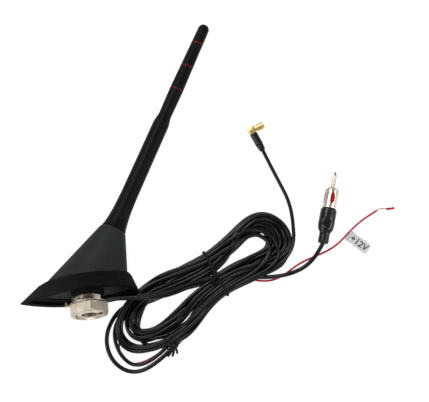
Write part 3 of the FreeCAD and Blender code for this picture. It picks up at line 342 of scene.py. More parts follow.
def settle(cords):
    """Pushes wound cords out of each other, keeps them smooth and lets them sink to the floor."""
    parts = [redivide(cord) for cord in cords]
    place = np.concatenate([p for p, _ in parts])
    held = np.concatenate([h for _, h in parts])
    radius = np.concatenate([np.full(len(p), c.radius) for (p, _), c in zip(parts, cords)])
    owner = np.concatenate([np.full(len(p), k) for k, (p, _) in enumerate(parts)])
    index = np.concatenate([np.arange(len(p)) for p, _ in parts])
    goal = place.copy()
    free = ~held
    inside = free.copy()
    inside[0] = inside[-1] = False
    inside[1:] &= owner[1:] == owner[:-1]
    inside[:-1] &= owner[:-1] == owner[1:]
    spot = np.flatnonzero(inside)
    share = free.astype(float)
    for turn in range(ROUNDS):
        if turn % LOOK_AGAIN == 0:
            gap = np.linalg.norm(place[:, None, :] - place[None, :, :], axis=2)
            a, b = np.nonzero(np.triu(gap < NEAR, 1))
            keep = (owner[a] != owner[b]) | (np.abs(index[a] - index[b]) > NEIGHBOURS)
            keep &= free[a] | free[b]
            a, b = a[keep], b[keep]
        apart = place[a] - place[b]
        distance = np.maximum(np.linalg.norm(apart, axis=1), 1e-6)
        overlap = np.maximum((radius[a] + radius[b]) * SPARE - distance, 0)
        push = apart / distance[:, None] * overlap[:, None] * PUSH
        total = np.maximum(share[a] + share[b], 1e-6)
        move = np.zeros_like(place)
        np.add.at(move, a, push * (share[a] / total)[:, None])
        np.add.at(move, b, -push * (share[b] / total)[:, None])
        largest = np.linalg.norm(move, axis=1, keepdims=True)
        move *= np.minimum(1, LARGEST_MOVE / np.maximum(largest, 1e-9))
        place[free] += move[free]
        middle = (place[spot - 1] + place[spot + 1]) / 2
        place[spot] += SMOOTHING * (middle - place[spot])
        place[free, :2] += PULL_HOME * (goal[free, :2] - place[free, :2])
        place[free, 2] -= SINK
        place[:, 2] = np.maximum(place[:, 2], np.where(free, radius + FLOOR_GAP, place[:, 2]))
    return [(place[owner == k], held[owner == k]) for k in range(len(cords))]


def nurbs(name, points, radius, caps=True):
    """A cord as one open NURBS spline of order 3 through control points in mm."""
    data = bpy.data.curves.new(name, "CURVE")
    data.dimensions = "3D"
    data.bevel_depth = radius * MM
    data.bevel_resolution = 6
    data.resolution_u = 6
    data.use_fill_caps = caps
    spline = data.splines.new("NURBS")
    spline.points.add(len(points) - 1)
    for slot, point in zip(spline.points, points):
        slot.co = (point[0] * MM, point[1] * MM, point[2] * MM, 1)
    spline.order_u = 3
    spline.use_endpoint_u = True
    return add_object(name, data)


# Control points: how near a held stretch's end the route's last point lies, the spacing where a
# cord is free, the spacing under which points are dropped, and how sharp corners are eased.
END_REACH, FREE_SPACING, CROWDED = 4.5, 5.5, 3.6
SHARPEST = 5.0  # bend radius over the cord's own radius
EASE_ROUNDS, OWN_SHARE, NEXT_SHARE = 2, 0.6, 0.2


def control_points(cord, settled):
    """Route points where the cord is held, spaced settled points elsewhere."""
    points, held = settled
    out = []
    route = [p for p, h in zip(cord.points, cord.held) if h]
    used = 0
    k = 0
    while k < len(points):
        if held[k]:
            run_end = k
            while run_end + 1 < len(points) and held[run_end + 1]:
                run_end += 1
            last = points[run_end]
            while used < len(route):
                out.append(route[used])
                used += 1
                if np.linalg.norm(route[used - 1] - last) < END_REACH:
                    break
            k = run_end + 1
        else:
            if not out or np.linalg.norm(points[k] - out[-1]) > FREE_SPACING:
                out.append(points[k])
            k += 1
    return without_kinks(out + route[used:], cord.radius)


def bend_radius(a, b, c):
    """Radius of the circle through three points."""
    area = np.linalg.norm(np.cross(b - a, c - a))
    sides = np.linalg.norm(b - a) * np.linalg.norm(c - b) * np.linalg.norm(c - a)
    return sides / max(2 * area, 1e-9)


def without_kinks(route, radius):
    """The route with crowded points dropped and sharp corners eased, its two ends kept."""
    route = [np.array(p, float) for p in route]
    kept = [route[0]]
    for point in route[1:-1]:
        if np.linalg.norm(point - kept[-1]) > CROWDED and np.linalg.norm(point - route[-1]) > CROWDED:
            kept.append(point)
    kept.append(route[-1])
    for _ in range(EASE_ROUNDS):
        for k in range(2, len(kept) - 2):
            if bend_radius(kept[k - 1], kept[k], kept[k + 1]) < SHARPEST * radius:
                kept[k] = OWN_SHARE * kept[k] + NEXT_SHARE * (kept[k - 1] + kept[k + 1])
    return kept


CORDS = wind_cords()
SETTLED = settle(CORDS)
CABLES = {
    cord.name: nurbs(cord.name, control_points(cord, settled), cord.radius)
    for cord, settled in zip(CORDS, SETTLED)
}


# ------------------------------------------------------------------ mesh helpers
def unit(way):
    return Vector(way).normalized()


def frame_of(way):
    """Two unit vectors square to a direction; the second one is as upright as it can be."""
    axis = unit(way)
    guide = Vector((0, 0, 1)) if abs(axis.z) < 0.9 else Vector((0, 1, 0))
    side = guide.cross(axis).normalized()
    return side, axis.cross(side).normalized()


def shade(data, sharp):
    """Smooth shading, but for edges sharper than an angle in degrees."""
    data.polygons.foreach_set("use_smooth", [True] * len(data.polygons))
    data.set_sharp_from_angle(angle=math.radians(sharp))


def mesh_piece(name, points, faces, sharp=35):
    """A mesh object from points in mm."""
    data = bpy.data.meshes.new(name)
    data.from_pydata([tuple(c * MM for c in p) for p in points], [], faces)
    data.update()
    work = bmesh.new()
    work.from_mesh(data)
    bmesh.ops.recalc_face_normals(work, faces=work.faces)
    work.to_mesh(data)
    work.free()
    shade(data, sharp)
    return add_object(name, data)


def skin(name, rings, sharp=35, capped=True):
    """A surface through closed rings of equal counts of points, with or without its two ends."""
    count = len(rings[0])
    points = [p for ring in rings for p in ring]
    faces = []
    for k in range(len(rings) - 1):
        for j in range(count):
            a = k * count + j
            b = k * count + (j + 1) % count
            faces.append((a, b, b + count, a + count))
    if capped:
        faces.append(tuple(range(count - 1, -1, -1)))
        faces.append(tuple((len(rings) - 1) * count + j for j in range(count)))
    return mesh_piece(name, points, faces, sharp)


def round_point(start, axis, side, up, station, radius, angle):
    """A point at a station along an axis, a radius from it and an angle round it."""
    return start + axis * station + side * (radius * math.cos(angle)) + up * (radius * math.sin(angle))


def lathe(name, origin, way, profile, segments=56, shape=None, sharp=35):
    """Turns a profile of (radius, station) mm about an axis; shape(angle, station) scales the radius."""
    side, up = frame_of(way)
    axis = unit(way)
    start = Vector(origin)
    rings = []
    for radius, station in profile:
        ring = []
        for j in range(segments):
            angle = math.tau * j / segments
            scale = shape(angle, station) if shape else 1.0
            ring.append(round_point(start, axis, side, up, station, radius * scale, angle))
        rings.append(ring)
    return skin(name, rings, sharp)


def fine(profile, spacing=0.5):
    """The profile with its longer runs divided, so that a shape can bend them."""
    out = [profile[0]]
    for (r0, s0), (r1, s1) in zip(profile, profile[1:]):
        count = max(1, round(abs(s1 - s0) / spacing))
        out += [(r0 + (r1 - r0) * k / count, s0 + (s1 - s0) * k / count) for k in range(1, count + 1)]
    return out


def spline_points(route):
    """Points in mm read from a route's NURBS spline."""
    guide = nurbs("guide", route, 0, caps=False)
    bpy.context.view_layer.update()
    line = bpy.data.meshes.new_from_object(guide)
    points = [np.array(v.co) / MM for v in line.vertices]
    bpy.data.objects.remove(guide)
    bpy.data.meshes.remove(line)
    return points


STRAND_FLOOR_GAP = 0.02
POINTS_PER_TWIST = 10


def twisted(name, line, strands, strand_r, spread, pitch, phase=0.0):
    """Thin strands that twist round a line of points in mm, as one curve object."""
    line = [np.array(p, float) for p in line]
    data = bpy.data.curves.new(name, "CURVE")
    data.dimensions = "3D"
    data.bevel_depth = strand_r * MM
    data.bevel_resolution = 3
    data.use_fill_caps = True
    reach = [0.0]
    for a, b in zip(line, line[1:]):
        reach.append(reach[-1] + float(np.linalg.norm(b - a)))
    even = np.arange(0, reach[-1], pitch / POINTS_PER_TWIST)
    path = np.stack([np.interp(even, reach, [p[k] for p in line]) for k in range(3)], axis=1)
    ways = np.gradient(path, axis=0)
    for strand in range(strands):
        spline = data.splines.new("NURBS")
        spline.points.add(len(path) - 1)
        for k, (spot, way) in enumerate(zip(path, ways)):
            side, up = frame_of(way)
            angle = math.tau * (even[k] / pitch + strand / strands) + phase
            place = Vector(spot) + side * (spread * math.cos(angle)) + up * (spread * math.sin(angle))
            place.z = max(place.z, strand_r + STRAND_FLOOR_GAP)
            spline.points[k].co = (place.x * MM, place.y * MM, place.z * MM, 1)
        spline.order_u = 3
        spline.use_endpoint_u = True
    return add_object(name, data)


# ------------------------------------------------------------------ materials
NOISE_LOW, NOISE_HIGH = 0.3, 0.7  # the span that Blender's noise mostly stays in
EDGE_START, EDGE_FULL = 0.54, 0.64  # pointiness where an edge begins to look worn, and fully is
ROUGH_GRAIN = 1.7  # the roughness pattern's scale over the colour's


def ramp_of(tree, source, low, high):
    """A black to white ramp between two values of a source."""
    node = tree.nodes.new("ShaderNodeValToRGB")
    node.color_ramp.elements[0].position = low
    node.color_ramp.elements[1].position = high
    tree.links.new(source, node.inputs["Fac"])
    return node


def mixed(tree, factor, colour, tint):
    """A colour with a fixed tint mixed in by a factor."""
    node = tree.nodes.new("ShaderNodeMix")
    node.data_type = "RGBA"
    tree.links.new(factor, node.inputs["Factor"])
    tree.links.new(colour, node.inputs["A"])
    node.inputs["B"].default_value = (*tint, 1)
    return node.outputs["Result"]


def finish_of(name, base, vary=None, rough=0.5, rough_span=0.12, grain=600, bump=0.15, bump_grain=2500,
              depth=0.05, metallic=0.0, coat=0.0, wear=None, gloss=0.07, stretch=None):
    """A surface with uneven colour and roughness, a fine relief, and optionally paler worn edges."""
    material = bpy.data.materials.new(name)
    material.use_nodes = True
    tree = material.node_tree
    shader = tree.nodes["Principled BSDF"]
    shader.inputs["Metallic"].default_value = metallic
    shader.inputs["Specular IOR Level"].default_value = gloss
    shader.inputs["Coat Weight"].default_value = coat
    shader.inputs["Coat Roughness"].default_value = 0.12
    source = tree.nodes.new("ShaderNodeTexCoord").outputs["Object"]
    if stretch:
        mapping = tree.nodes.new("ShaderNodeMapping")
        mapping.inputs["Scale"].default_value = stretch
        tree.links.new(source, mapping.inputs["Vector"])
        source = mapping.outputs["Vector"]

    def noise(scale, detail):
        node = tree.nodes.new("ShaderNodeTexNoise")
        node.inputs["Scale"].default_value = scale
        node.inputs["Detail"].default_value = detail
        tree.links.new(source, node.inputs["Vector"])
        return node.outputs["Fac"]

    ramp = ramp_of(tree, noise(grain, 4), NOISE_LOW, NOISE_HIGH)
    paler = vary or [min(1, c * 1.25 + 0.002) for c in base]
    ramp.color_ramp.elements[0].color = (*base, 1)
    ramp.color_ramp.elements[1].color = (*paler, 1)
    colour = ramp.outputs["Color"]
    if wear:
        geometry = tree.nodes.new("ShaderNodeNewGeometry")
        edges = ramp_of(tree, geometry.outputs["Pointiness"], EDGE_START, EDGE_FULL)
        colour = mixed(tree, edges.outputs["Color"], colour, wear)
    tree.links.new(colour, shader.inputs["Base Color"])
    spread = tree.nodes.new("ShaderNodeMapRange")
    spread.inputs["From Min"].default_value = NOISE_LOW
    spread.inputs["From Max"].default_value = NOISE_HIGH
    spread.inputs["To Min"].default_value = rough - rough_span / 2
    spread.inputs["To Max"].default_value = rough + rough_span / 2
    tree.links.new(noise(grain * ROUGH_GRAIN, 3), spread.inputs["Value"])
    tree.links.new(spread.outputs["Result"], shader.inputs["Roughness"])
    relief = tree.nodes.new("ShaderNodeBump")
    relief.inputs["Strength"].default_value = bump
    relief.inputs["Distance"].default_value = depth * MM
    tree.links.new(noise(bump_grain, 2), relief.inputs["Height"])
    tree.links.new(relief.outputs["Normal"], shader.inputs["Normal"])
    return material


def paint_shade_facing(material, way, tint):
    """Mixes a darker colour in where the surface faces one way: painted shade, such as on an underside turned
    away from the lamps.
    """
    tree = material.node_tree
    shader = tree.nodes["Principled BSDF"]
    colour = shader.inputs["Base Color"].links[0].from_socket
    place = next(n for n in tree.nodes if n.type == "TEX_COORD")
    facing = tree.nodes.new("ShaderNodeVectorMath")
    facing.operation = "DOT_PRODUCT"
    facing.inputs[1].default_value = way
    tree.links.new(place.outputs["Normal"], facing.inputs[0])
    ramp = ramp_of(tree, facing.outputs["Value"], 0.6, 0.85)
    tree.links.new(mixed(tree, ramp.outputs["Color"], colour, tint), shader.inputs["Base Color"])


YAW, DIP = math.radians(7.0), math.radians(5.8)
ANTENNA = Matrix.Rotation(YAW, 3, "Z") @ Matrix.Rotation(-(math.pi / 2 + DIP), 3, "X")
BASE = Vector((-17.6, -93.05, 23.7 * math.cos(DIP)))
STUD_WAY = ANTENNA @ Vector((0, 0, -1))


def in_antenna(x, y, z):
    """A row-frame point in mm from the antenna's own frame."""
    return BASE + ANTENNA @ Vector((x, y, z))


# What each material slot looks like. Colours are linear.
LOOKS = {
    "skirt_rubber": dict(
        base=(0.0022, 0.0022, 0.0023), rough=0.7, grain=350, bump=0.35, bump_grain=2200, depth=0.08,
        wear=(0.006, 0.006, 0.006), gloss=0.03,
    ),
    "housing_plastic": dict(
        base=(0.011, 0.0125, 0.0128), vary=(0.016, 0.0185, 0.019), rough=0.55, grain=900, bump=0.55,
        bump_grain=2600, depth=0.09, wear=(0.035, 0.038, 0.039),
    ),
    # cast_alloy is near-black: painted shade on the chassis plate, in the shaded recess under the skirt
    "cast_alloy": dict(base=(0.003, 0.003, 0.003), rough=0.6, bump=0.4, depth=0.1),
    "zinc_plated": dict(
        base=(0.40, 0.335, 0.25), vary=(0.52, 0.45, 0.355), rough=0.36, rough_span=0.14, grain=260,
        metallic=1.0, bump=0.18, bump_grain=1400, depth=0.04, wear=(0.7, 0.63, 0.54),
        stretch=(1, 0.25, 1),
    ),
    "black_plastic": dict(base=(0.005, 0.005, 0.005), rough=0.38, bump=0.2),
    "black_rubber": dict(base=(0.004, 0.004, 0.004), rough=0.6, bump=0.25),
    "bright_steel": dict(base=(0.55, 0.55, 0.54), rough=0.3, metallic=1.0),
    # blackened_steel is near-black: painted shade on the housing screws, in the shaded recess under the skirt
    "blackened_steel": dict(base=(0.004, 0.004, 0.004), rough=0.5),
    "brass_parts": dict(base=(0.62, 0.42, 0.15), rough=0.28, metallic=1.0, stretch=(1, 1, 0.2)),
    "circuit_board": dict(base=(0.01, 0.10, 0.035), vary=(0.015, 0.15, 0.05), rough=0.3, coat=0.4),
    "tin_plate": dict(base=(0.6, 0.6, 0.58), rough=0.34, metallic=1.0, grain=300),
    "copper_wire": dict(base=(0.55, 0.2, 0.08), rough=0.3, metallic=1.0),
    "mast_rubber": dict(
        base=(0.0018, 0.0018, 0.0019), vary=(0.003, 0.003, 0.0032), rough=0.5, grain=420, bump=0.3,
        bump_grain=2400, depth=0.05,
    ),
    "red_ring": dict(base=(0.1, 0.003, 0.006), rough=0.45, bump=0.1),
    "glass_fibre": dict(base=(0.62, 0.6, 0.5), rough=0.5, stretch=(1, 0.1, 1)),
    "cable_jacket": dict(
        base=(0.0016, 0.0016, 0.0017), vary=(0.0026, 0.0026, 0.0028), rough=0.3, gloss=0.22,
        rough_span=0.04, grain=320, bump=0.02, bump_grain=900, depth=0.02,
    ),
    "red_wire": dict(
        base=(0.29, 0.006, 0.019), vary=(0.36, 0.01, 0.027), rough=0.32, grain=300, bump=0.12, depth=0.03,
        coat=0.2,
    ),
    "tinned_copper": dict(base=(0.26, 0.2, 0.15), vary=(0.4, 0.34, 0.27), rough=0.35, metallic=1.0),
    "tie_plastic": dict(base=(0.008, 0.008, 0.008), rough=0.42, bump=0.2, bump_grain=900),
    "gold_plate": dict(
        base=(0.62, 0.43, 0.15), vary=(0.74, 0.55, 0.24), rough=0.3, rough_span=0.1, grain=500,
        metallic=1.0, bump=0.12, depth=0.03, wear=(0.98, 0.86, 0.55),
    ),
    "white_insulator": dict(base=(0.75, 0.74, 0.7), rough=0.5, bump=0.1),
    "boot_plastic": dict(
        base=(0.002, 0.002, 0.0022), rough=0.28, gloss=0.3, rough_span=0.1, grain=260, bump=0.2,
        bump_grain=1600, depth=0.05,
    ),
    "nickel_plate": dict(
        base=(0.46, 0.39, 0.31), vary=(0.58, 0.51, 0.43), rough=0.3, rough_span=0.1, grain=420,
        metallic=1.0, bump=0.1, depth=0.03, wear=(0.78, 0.72, 0.64),
    ),
    "red_insulator": dict(base=(0.28, 0.006, 0.011), rough=0.35, bump=0.1),
    "label_film": dict(
        base=(0.38, 0.39, 0.375), vary=(0.44, 0.45, 0.435), rough=0.42, bump=0.12, bump_grain=500,
        depth=0.1,
    ),
    "label_print": dict(base=(0.03, 0.03, 0.035), rough=0.5, bump=0.05),
}
PAINTS = {slot: finish_of(slot, **look) for slot, look in LOOKS.items()}
# painted shade: the skirt's underside, facing along the stud away from the lamps, gets a darker colour than
# its sides
paint_shade_facing(PAINTS["skirt_rubber"], tuple(STUD_WAY), (0.0006, 0.0006, 0.0006))
for part in frame["record"]["subparts"]:
    node = NODES.get(part["node"])
    if node is not None:
        node.data.materials.clear()
        node.data.materials.append(PAINTS[part["material_slot"]])


def dress(piece, slot, body="root", replaces=()):
    """Gives a new piece its slot's material and its body."""
    piece.data.materials.clear()
    piece.data.materials.append(PAINTS[slot])
    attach(piece, body)
    if replaces:
        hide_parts(*replaces)
    return piece


# ------------------------------------------------------------------ stud: thread, cable slot and flange
STUD_R, BORE_R = 9.0, 5.5
STUD_LOW, STUD_TOP = -12.8, 5.0
FLANGE_R, FLANGE_TOP = 10.5, 6.6
SLOT_TOP, SLOT_HALF = -1.1, 3.5
PITCH, THREAD_DEEP = 1.5, 0.55
LEAD_DEEP, LEAD_RUN = 0.4, 1.2  # how much slimmer the stud is at its end, and over what height
THREAD_SIDES, THREAD_LEVELS, ROOT_SIDES = 96, 70, 72


def thread_radius(angle, z):
    """Radius of the thread at an angle and a height."""
    phase = (z / PITCH - angle / math.tau) % 1
    ridge = 1 - abs(2 * phase - 1)
    fade = min(1, (z - STUD_LOW) / LEAD_RUN)
    return STUD_R - THREAD_DEEP * (1 - ridge) - (1 - fade) * LEAD_DEEP


def stud_ring(angle, profile):
    """A profile of (radius, height) at one angle round the antenna's axis."""
    return [in_antenna(r * math.cos(angle), r * math.sin(angle), z) for r, z in profile]


def make_stud():
    """The slotted wall with its helical thread and bore, and the whole ring above it with the flange."""
    cut = math.asin(SLOT_HALF / STUD_R)
    levels = [STUD_LOW + (SLOT_TOP - STUD_LOW) * k / THREAD_LEVELS for k in range(THREAD_LEVELS + 1)]
    rings = []
    for j in range(THREAD_SIDES + 1):
        angle = cut + (math.tau - 2 * cut) * j / THREAD_SIDES
        outside = [(thread_radius(angle, z), z) for z in levels]
        rings.append(stud_ring(angle, outside + [(BORE_R, levels[-1]), (BORE_R, levels[0])]))
    threaded = skin("stud_thread", rings, sharp=60)
    wall = STUD_R - 0.02
    profile = [(BORE_R, SLOT_TOP), (wall, SLOT_TOP), (wall, STUD_TOP), (FLANGE_R, STUD_TOP),
               (FLANGE_R, FLANGE_TOP), (BORE_R, FLANGE_TOP)]
    rings = [stud_ring(math.tau * j / ROOT_SIDES, profile) for j in range(ROOT_SIDES + 1)]
    root = skin("stud_root", rings, capped=False)
    dress(threaded, "zinc_plated", replaces=["threaded_stud"])
    dress(root, "zinc_plated")


make_stud()

# ------------------------------------------------------------------ connectors
SMB_CENTRE = Vector((92.8, 28.3, 2.9))
SMB_BARREL_WAY = unit((0.88, 0.475, 0))
SMB_BOOT_WAY = unit((0.475, -0.88, 0))
DIN_START = Vector((141.0, -53.6, 5.8))
DIN_WAY = unit((0.194, 0.981, 0))


SMB_HALF = 2.6  # half the elbow block's side
SMB_SLITS = 4


def from_bmesh(name, work, turn, centre):
    """Turns a bmesh about its origin, moves it to a centre in mm and makes it an object."""
    for vert in work.verts:
        vert.co = turn @ vert.co + centre * MM
    data = bpy.data.meshes.new(name)
    work.to_mesh(data)
    work.free()
    return add_object(name, data)


def smb_block():
    """The elbow: a cube with bevelled edges, square to the barrel."""
    work = bmesh.new()
    bmesh.ops.create_cube(work, size=2 * SMB_HALF * MM)
    bmesh.ops.bevel(work, geom=work.edges[:], offset=0.45 * MM, segments=3, affect="EDGES", profile=0.5)
    turn = Matrix((SMB_BARREL_WAY, *frame_of(SMB_BARREL_WAY))).transposed()
    block = from_bmesh("smb_block", work, turn, SMB_CENTRE)
    shade(block.data, 50)
    return block


def smb_cap():
    """The press-in cap on the elbow's back."""
    profile = [(0.1, -0.1), (1.7, -0.1), (1.7, 0.2), (1.5, 0.32), (0.1, 0.32)]
    profile = [(radius, SMB_HALF + station) for radius, station in profile]
    return lathe("smb_cap", SMB_CENTRE, -SMB_BARREL_WAY, profile, 40)


def smb_slit(number, side, up):
    """A thin box through the barrel's wall at its mouth."""
    angle = math.tau * (number + 0.5) / SMB_SLITS
    out = side * math.cos(angle) + up * math.sin(angle)
    across = SMB_BARREL_WAY.cross(out)
    length, depth, width = 5, 2.4, 0.42
    turn = Matrix((SMB_BARREL_WAY * length, out * depth, across * width)).transposed()
    centre = SMB_CENTRE + SMB_BARREL_WAY * (SMB_HALF + 6.6) + out * 2.2
    work = bmesh.new()
    bmesh.ops.create_cube(work, size=MM)
    return from_bmesh(f"slit_{number}", work, turn, centre)


def smb_shank():
    """The barrel: a tube with a snap groove and a slit mouth."""
    profile = [(1.9, 0), (2.15, 0), (2.15, 2), (2.6, 2.3), (2.6, 3.1), (2.42, 3.3), (2.42, 3.7), (2.6, 3.9),
               (2.6, 6.7), (2.3, 7), (1.9, 7)]
    side, up = frame_of(SMB_BARREL_WAY)
    segments, count = 80, len(profile)
    points = [
        round_point(SMB_CENTRE, SMB_BARREL_WAY, side, up, SMB_HALF + station, radius, math.tau * j / segments)
        for j in range(segments) for radius, station in profile
    ]
    faces = []
    for j in range(segments):
        a, b = j * count, ((j + 1) % segments) * count
        for k in range(count):
            n = (k + 1) % count
            faces.append((a + k, a + n, b + n, b + k))
    barrel = mesh_piece("smb_shank", points, faces)
    carve(barrel, [smb_slit(k, side, up) for k in range(SMB_SLITS)])
    return barrel


def smb_sleeve():
    """The moulded boot on the cable side: slightly squared, with ridges near its end."""
    profile = [(0.4, -0.2), (2.6, -0.2), (2.85, 0.3), (2.85, 8.4), (2.6, 9.2), (2.45, 10.4), (2.2, 12.6),
               (1.9, 13.6), (1.2, 13.6)]
    profile = fine([(radius, SMB_HALF + station) for radius, station in profile])

    def squeeze(angle, station):
        beyond = station - SMB_HALF
        ridges = 0.03 * math.sin(beyond * 4.2) if SMB_HALF + 9.4 < station < SMB_HALF + 13 else 0
        flat = 0.05 * abs(math.cos(2 * angle)) if station < SMB_HALF + 8 else 0
        return 1 - flat + ridges

    return lathe("smb_sleeve", SMB_CENTRE, SMB_BOOT_WAY, profile, 64, squeeze)


def make_smb():
    """Elbow, cap, barrel and boot; the insulator and the contact stay from CAD."""
    block, cap, barrel, boot = smb_block(), smb_cap(), smb_shank(), smb_sleeve()
    dress(block, "gold_plate", replaces=["smb_elbow"])
    dress(cap, "gold_plate")
    dress(barrel, "gold_plate", replaces=["smb_barrel"])
    dress(boot, "boot_plastic", replaces=["smb_boot"])
    return [block, cap, barrel, boot, NODES["smb_insulator"], NODES["smb_contact"]]


def carve(piece, tools):
    """Cuts other meshes out of a piece and deletes them."""
    for tool in tools:
        change = piece.modifiers.new("cut", "BOOLEAN")
        change.operation = "DIFFERENCE"
        change.solver = "EXACT"
        change.object = tool
    bpy.context.view_layer.update()
    cut = bpy.data.meshes.new_from_object(piece.evaluated_get(bpy.context.evaluated_depsgraph_get()))
    piece.modifiers.clear()
    piece.data = cut
    shade(cut, 35)
    for tool in tools:
        bpy.data.objects.remove(tool)


def make_din():
    """Moulded boot with its finger recess and necked cable end; shell, insulator and pin stay from CAD."""
    profile = fine([(0.5, 0), (2.6, 0), (3.35, 0.35), (3.75, 1.2), (3.6, 6.2), (3.7, 7.6), (4.9, 9.6),
                    (5.4, 11), (5.65, 13), (5.65, 23.2), (5.45, 24.1), (4.7, 24.8), (4.2, 25), (0.5, 25)],
                   0.6)
    recess, recess_reach, recess_deep = 12.6, 4.8, 0.27
    groove, groove_deep = (21.6, 22.4), 0.02

    def saddle(angle, station):
        along = max(0.0, 1 - abs(station - recess) / recess_reach)
        along = along * along * (3 - 2 * along)
        across = max(0.0, math.sin(angle)) ** 3 + max(0.0, -math.sin(angle)) ** 3
        rim = groove_deep if groove[0] < station < groove[1] else 0
        return 1 - recess_deep * along * across - rim

    boot = lathe("din_moulding", DIN_START, DIN_WAY, profile, 80, saddle, sharp=42)
    dress(boot, "boot_plastic", replaces=["din_boot"])
    ring = [(4.1, 24.9), (4.95, 24.9), (4.95, 25.7), (4.72, 25.9), (4.1, 25.9)]
    collar = lathe("din_collar", DIN_START, DIN_WAY, ring, 64)
    dress(collar, "nickel_plate")
    return [boot, collar, NODES["din_shell"], NODES["din_insulator"], NODES["din_pin"]]


# ------------------------------------------------------------------ marker flag and stripped wire end
FLAG_LOW = Vector((157.5, -50.1, 0))
FLAG_WAY = unit((0.793, -0.61, 0))
FLAG_UP = unit((0.61, 0.793, 0))


FLAG_LENGTH, FLAG_WIDTH, FLAG_HALF_THICK = 16.4, 7.8, 0.13
FLAG_CORNER = 1.1
LETTER_SIZE, LETTER_BOLD, LETTER_DEEP = 6.3, 0.11, 0.015
LETTER_START = (1.6, 1.8)


def flag_height(x):
    """Height of the flag's middle over the floor at a distance from the wire."""
    t = min(1, max(0, x / 12))
    return 0.75 - 0.42 * t * t * (3 - 2 * t) + 0.10 * math.sin(x * 0.45)


def flag_lift(x, y):
    """A slight curl that leaves the wire's side flat."""
    return 0.12 * math.sin(y * 0.5 + x * 0.2) * min(1, x / 6)


def flag_outline():
    """The flag's section, (distance, height): out along the top, back below, and round the wire."""
    near, far, half = 1.0, FLAG_LENGTH, FLAG_HALF_THICK
    top = [(x, flag_height(x) + half) for x in np.linspace(far, near, 24)]
    bend = [(1.0 * math.cos(a), 0.76 + 0.98 * math.sin(a)) for a in np.linspace(0.35, math.tau - 0.35, 22)]
    low = [(x, flag_height(x) - half) for x in np.linspace(near, far, 24)]
    return top + bend + low


def flag_sheet():
    """The folded film with rounded corners at its free end."""
    rings = []
    for y in np.linspace(0, FLAG_WIDTH, 9):
        ring = []
        for x, z in flag_outline():
            near = max(0.0, (x - (FLAG_LENGTH - FLAG_CORNER)) / FLAG_CORNER)
            inset = FLAG_CORNER * (1 - math.sqrt(max(0.0, 1 - near * near)))
            across = FLAG_WIDTH / 2 + (y - FLAG_WIDTH / 2) * (1 - 2 * inset / FLAG_WIDTH)
            spot = FLAG_LOW + FLAG_WAY * x + FLAG_UP * across
            ring.append(Vector((spot.x, spot.y, max(0.03, z + flag_lift(x, y)))))
        rings.append(ring)
    return skin("wire_flag", rings, sharp=50)


def flag_print():
    """The voltage, as thin letters that follow the film."""
    text = bpy.data.curves.new("flag_text", "FONT")
    text.body = "+12V"
    text.size = LETTER_SIZE * MM
    text.extrude = LETTER_DEEP * MM
    text.offset = LETTER_BOLD * MM
    text.resolution_u = 4
    holder = add_object("flag_text", text)
    bpy.context.view_layer.update()
    data = bpy.data.meshes.new_from_object(holder.evaluated_get(bpy.context.evaluated_depsgraph_get()))
    bpy.data.objects.remove(holder)
    work = bmesh.new()
    work.from_mesh(data)
    long_edges = [e for e in work.edges if e.calc_length() > 1.2 * MM]
    bmesh.ops.subdivide_edges(work, edges=long_edges, cuts=2)
    for vert in work.verts:
        x, y = vert.co.x / MM + LETTER_START[0], vert.co.y / MM + LETTER_START[1]
        spot = FLAG_LOW + FLAG_WAY * x + FLAG_UP * y
        height = flag_height(x) + FLAG_HALF_THICK + flag_lift(x, y) + 0.03 + vert.co.z / MM
        vert.co = Vector((spot.x, spot.y, height)) * MM
    work.to_mesh(data)
    work.free()
    return add_object("flag_mark", data)


def make_flag():
    flag, mark = flag_sheet(), flag_print()
    dress(flag, "label_film", replaces=["power_flag"])
    dress(mark, "label_print")
    return [flag, mark]


def make_wire_end():
    line = spline_points([np.array(p) for p in BARE_STRANDS])
    strands = twisted("twisted_strands", line, 5, 0.17, 0.27, 3.2)
    dress(strands, "tinned_copper", replaces=["bare_strands"])
    slug = nurbs("wire_slug", INSULATION_SLUG, 0.82)
    dress(slug, "red_wire", replaces=["insulation_slug"])
    return [strands, slug]


# ------------------------------------------------------------------ twist ties
TIE_STRANDS = 2
WAIST_REACH, WAIST_SIDE = 4, 2.6  # how far round a place on the waist the turns are looked at
LEAST_HEIGHT = 2.0
LEAST_EDGES, MOST_EDGE = (-14.6, 15.2), 18
# Tails of the middle tie, as (along, across, height over the turns).
MIDDLE_TAILS = (
    ((0.6, 9.6, 0.6), (0.4, 6.5, 1.3), (0.2, 3.2, 1.5), (-0.2, 0.4, 1.6), (-1.2, -2.4, 1.4)),
    ((1.2, 0.6, 1.0), (-0.6, -1.8, 1.7), (-2.6, -3.4, 1.8), (-4.6, -4.4, 1.6), (-6.4, -4.2, 1.2)),
    ((-6.4, -4.2, 1.3), (-4.8, -2.4, 1.7), (-2.8, -1.2, 1.8), (-0.6, 0.4, 1.5)),
)
# The lower tie's place, and its tails as (along, across, height).
LOWER_START = Vector((34.4, -124.4, 0))
LOWER_WAY = unit((0.74, 0.67, 0))
LOWER_WRAPS = (0.6, 2.2, 3.9, 5.3)
LOWER_TAILS = (
    ((3.0, -4.0, 4.6), (1.4, -5.4, 3.8), (-0.2, -6.4, 2.8), (-1.6, -7.2, 1.8)),
    ((4.0, -4.2, 4.4), (3.6, -5.6, 3.6), (3.0, -6.8, 2.6), (2.2, -8.0, 1.6)),
    ((2.0, -3.8, 5.2), (-0.4, -4.6, 4.4), (-2.4, -5.0, 3.4), (-4.0, -5.0, 2.4)),
    ((4.6, 3.6, 5.4), (5.4, 4.6, 5.6), (6.2, 5.6, 5.4), (6.8, 6.6, 5.0)),
)


def tie_wire(name, route, pitch, phase=0.0, strand_r=0.5, spread=0.44):
    """The coated wires of a twist tie, twisted round a route in mm."""
    return twisted(name, spline_points(route), TIE_STRANDS, strand_r, spread, pitch, phase)


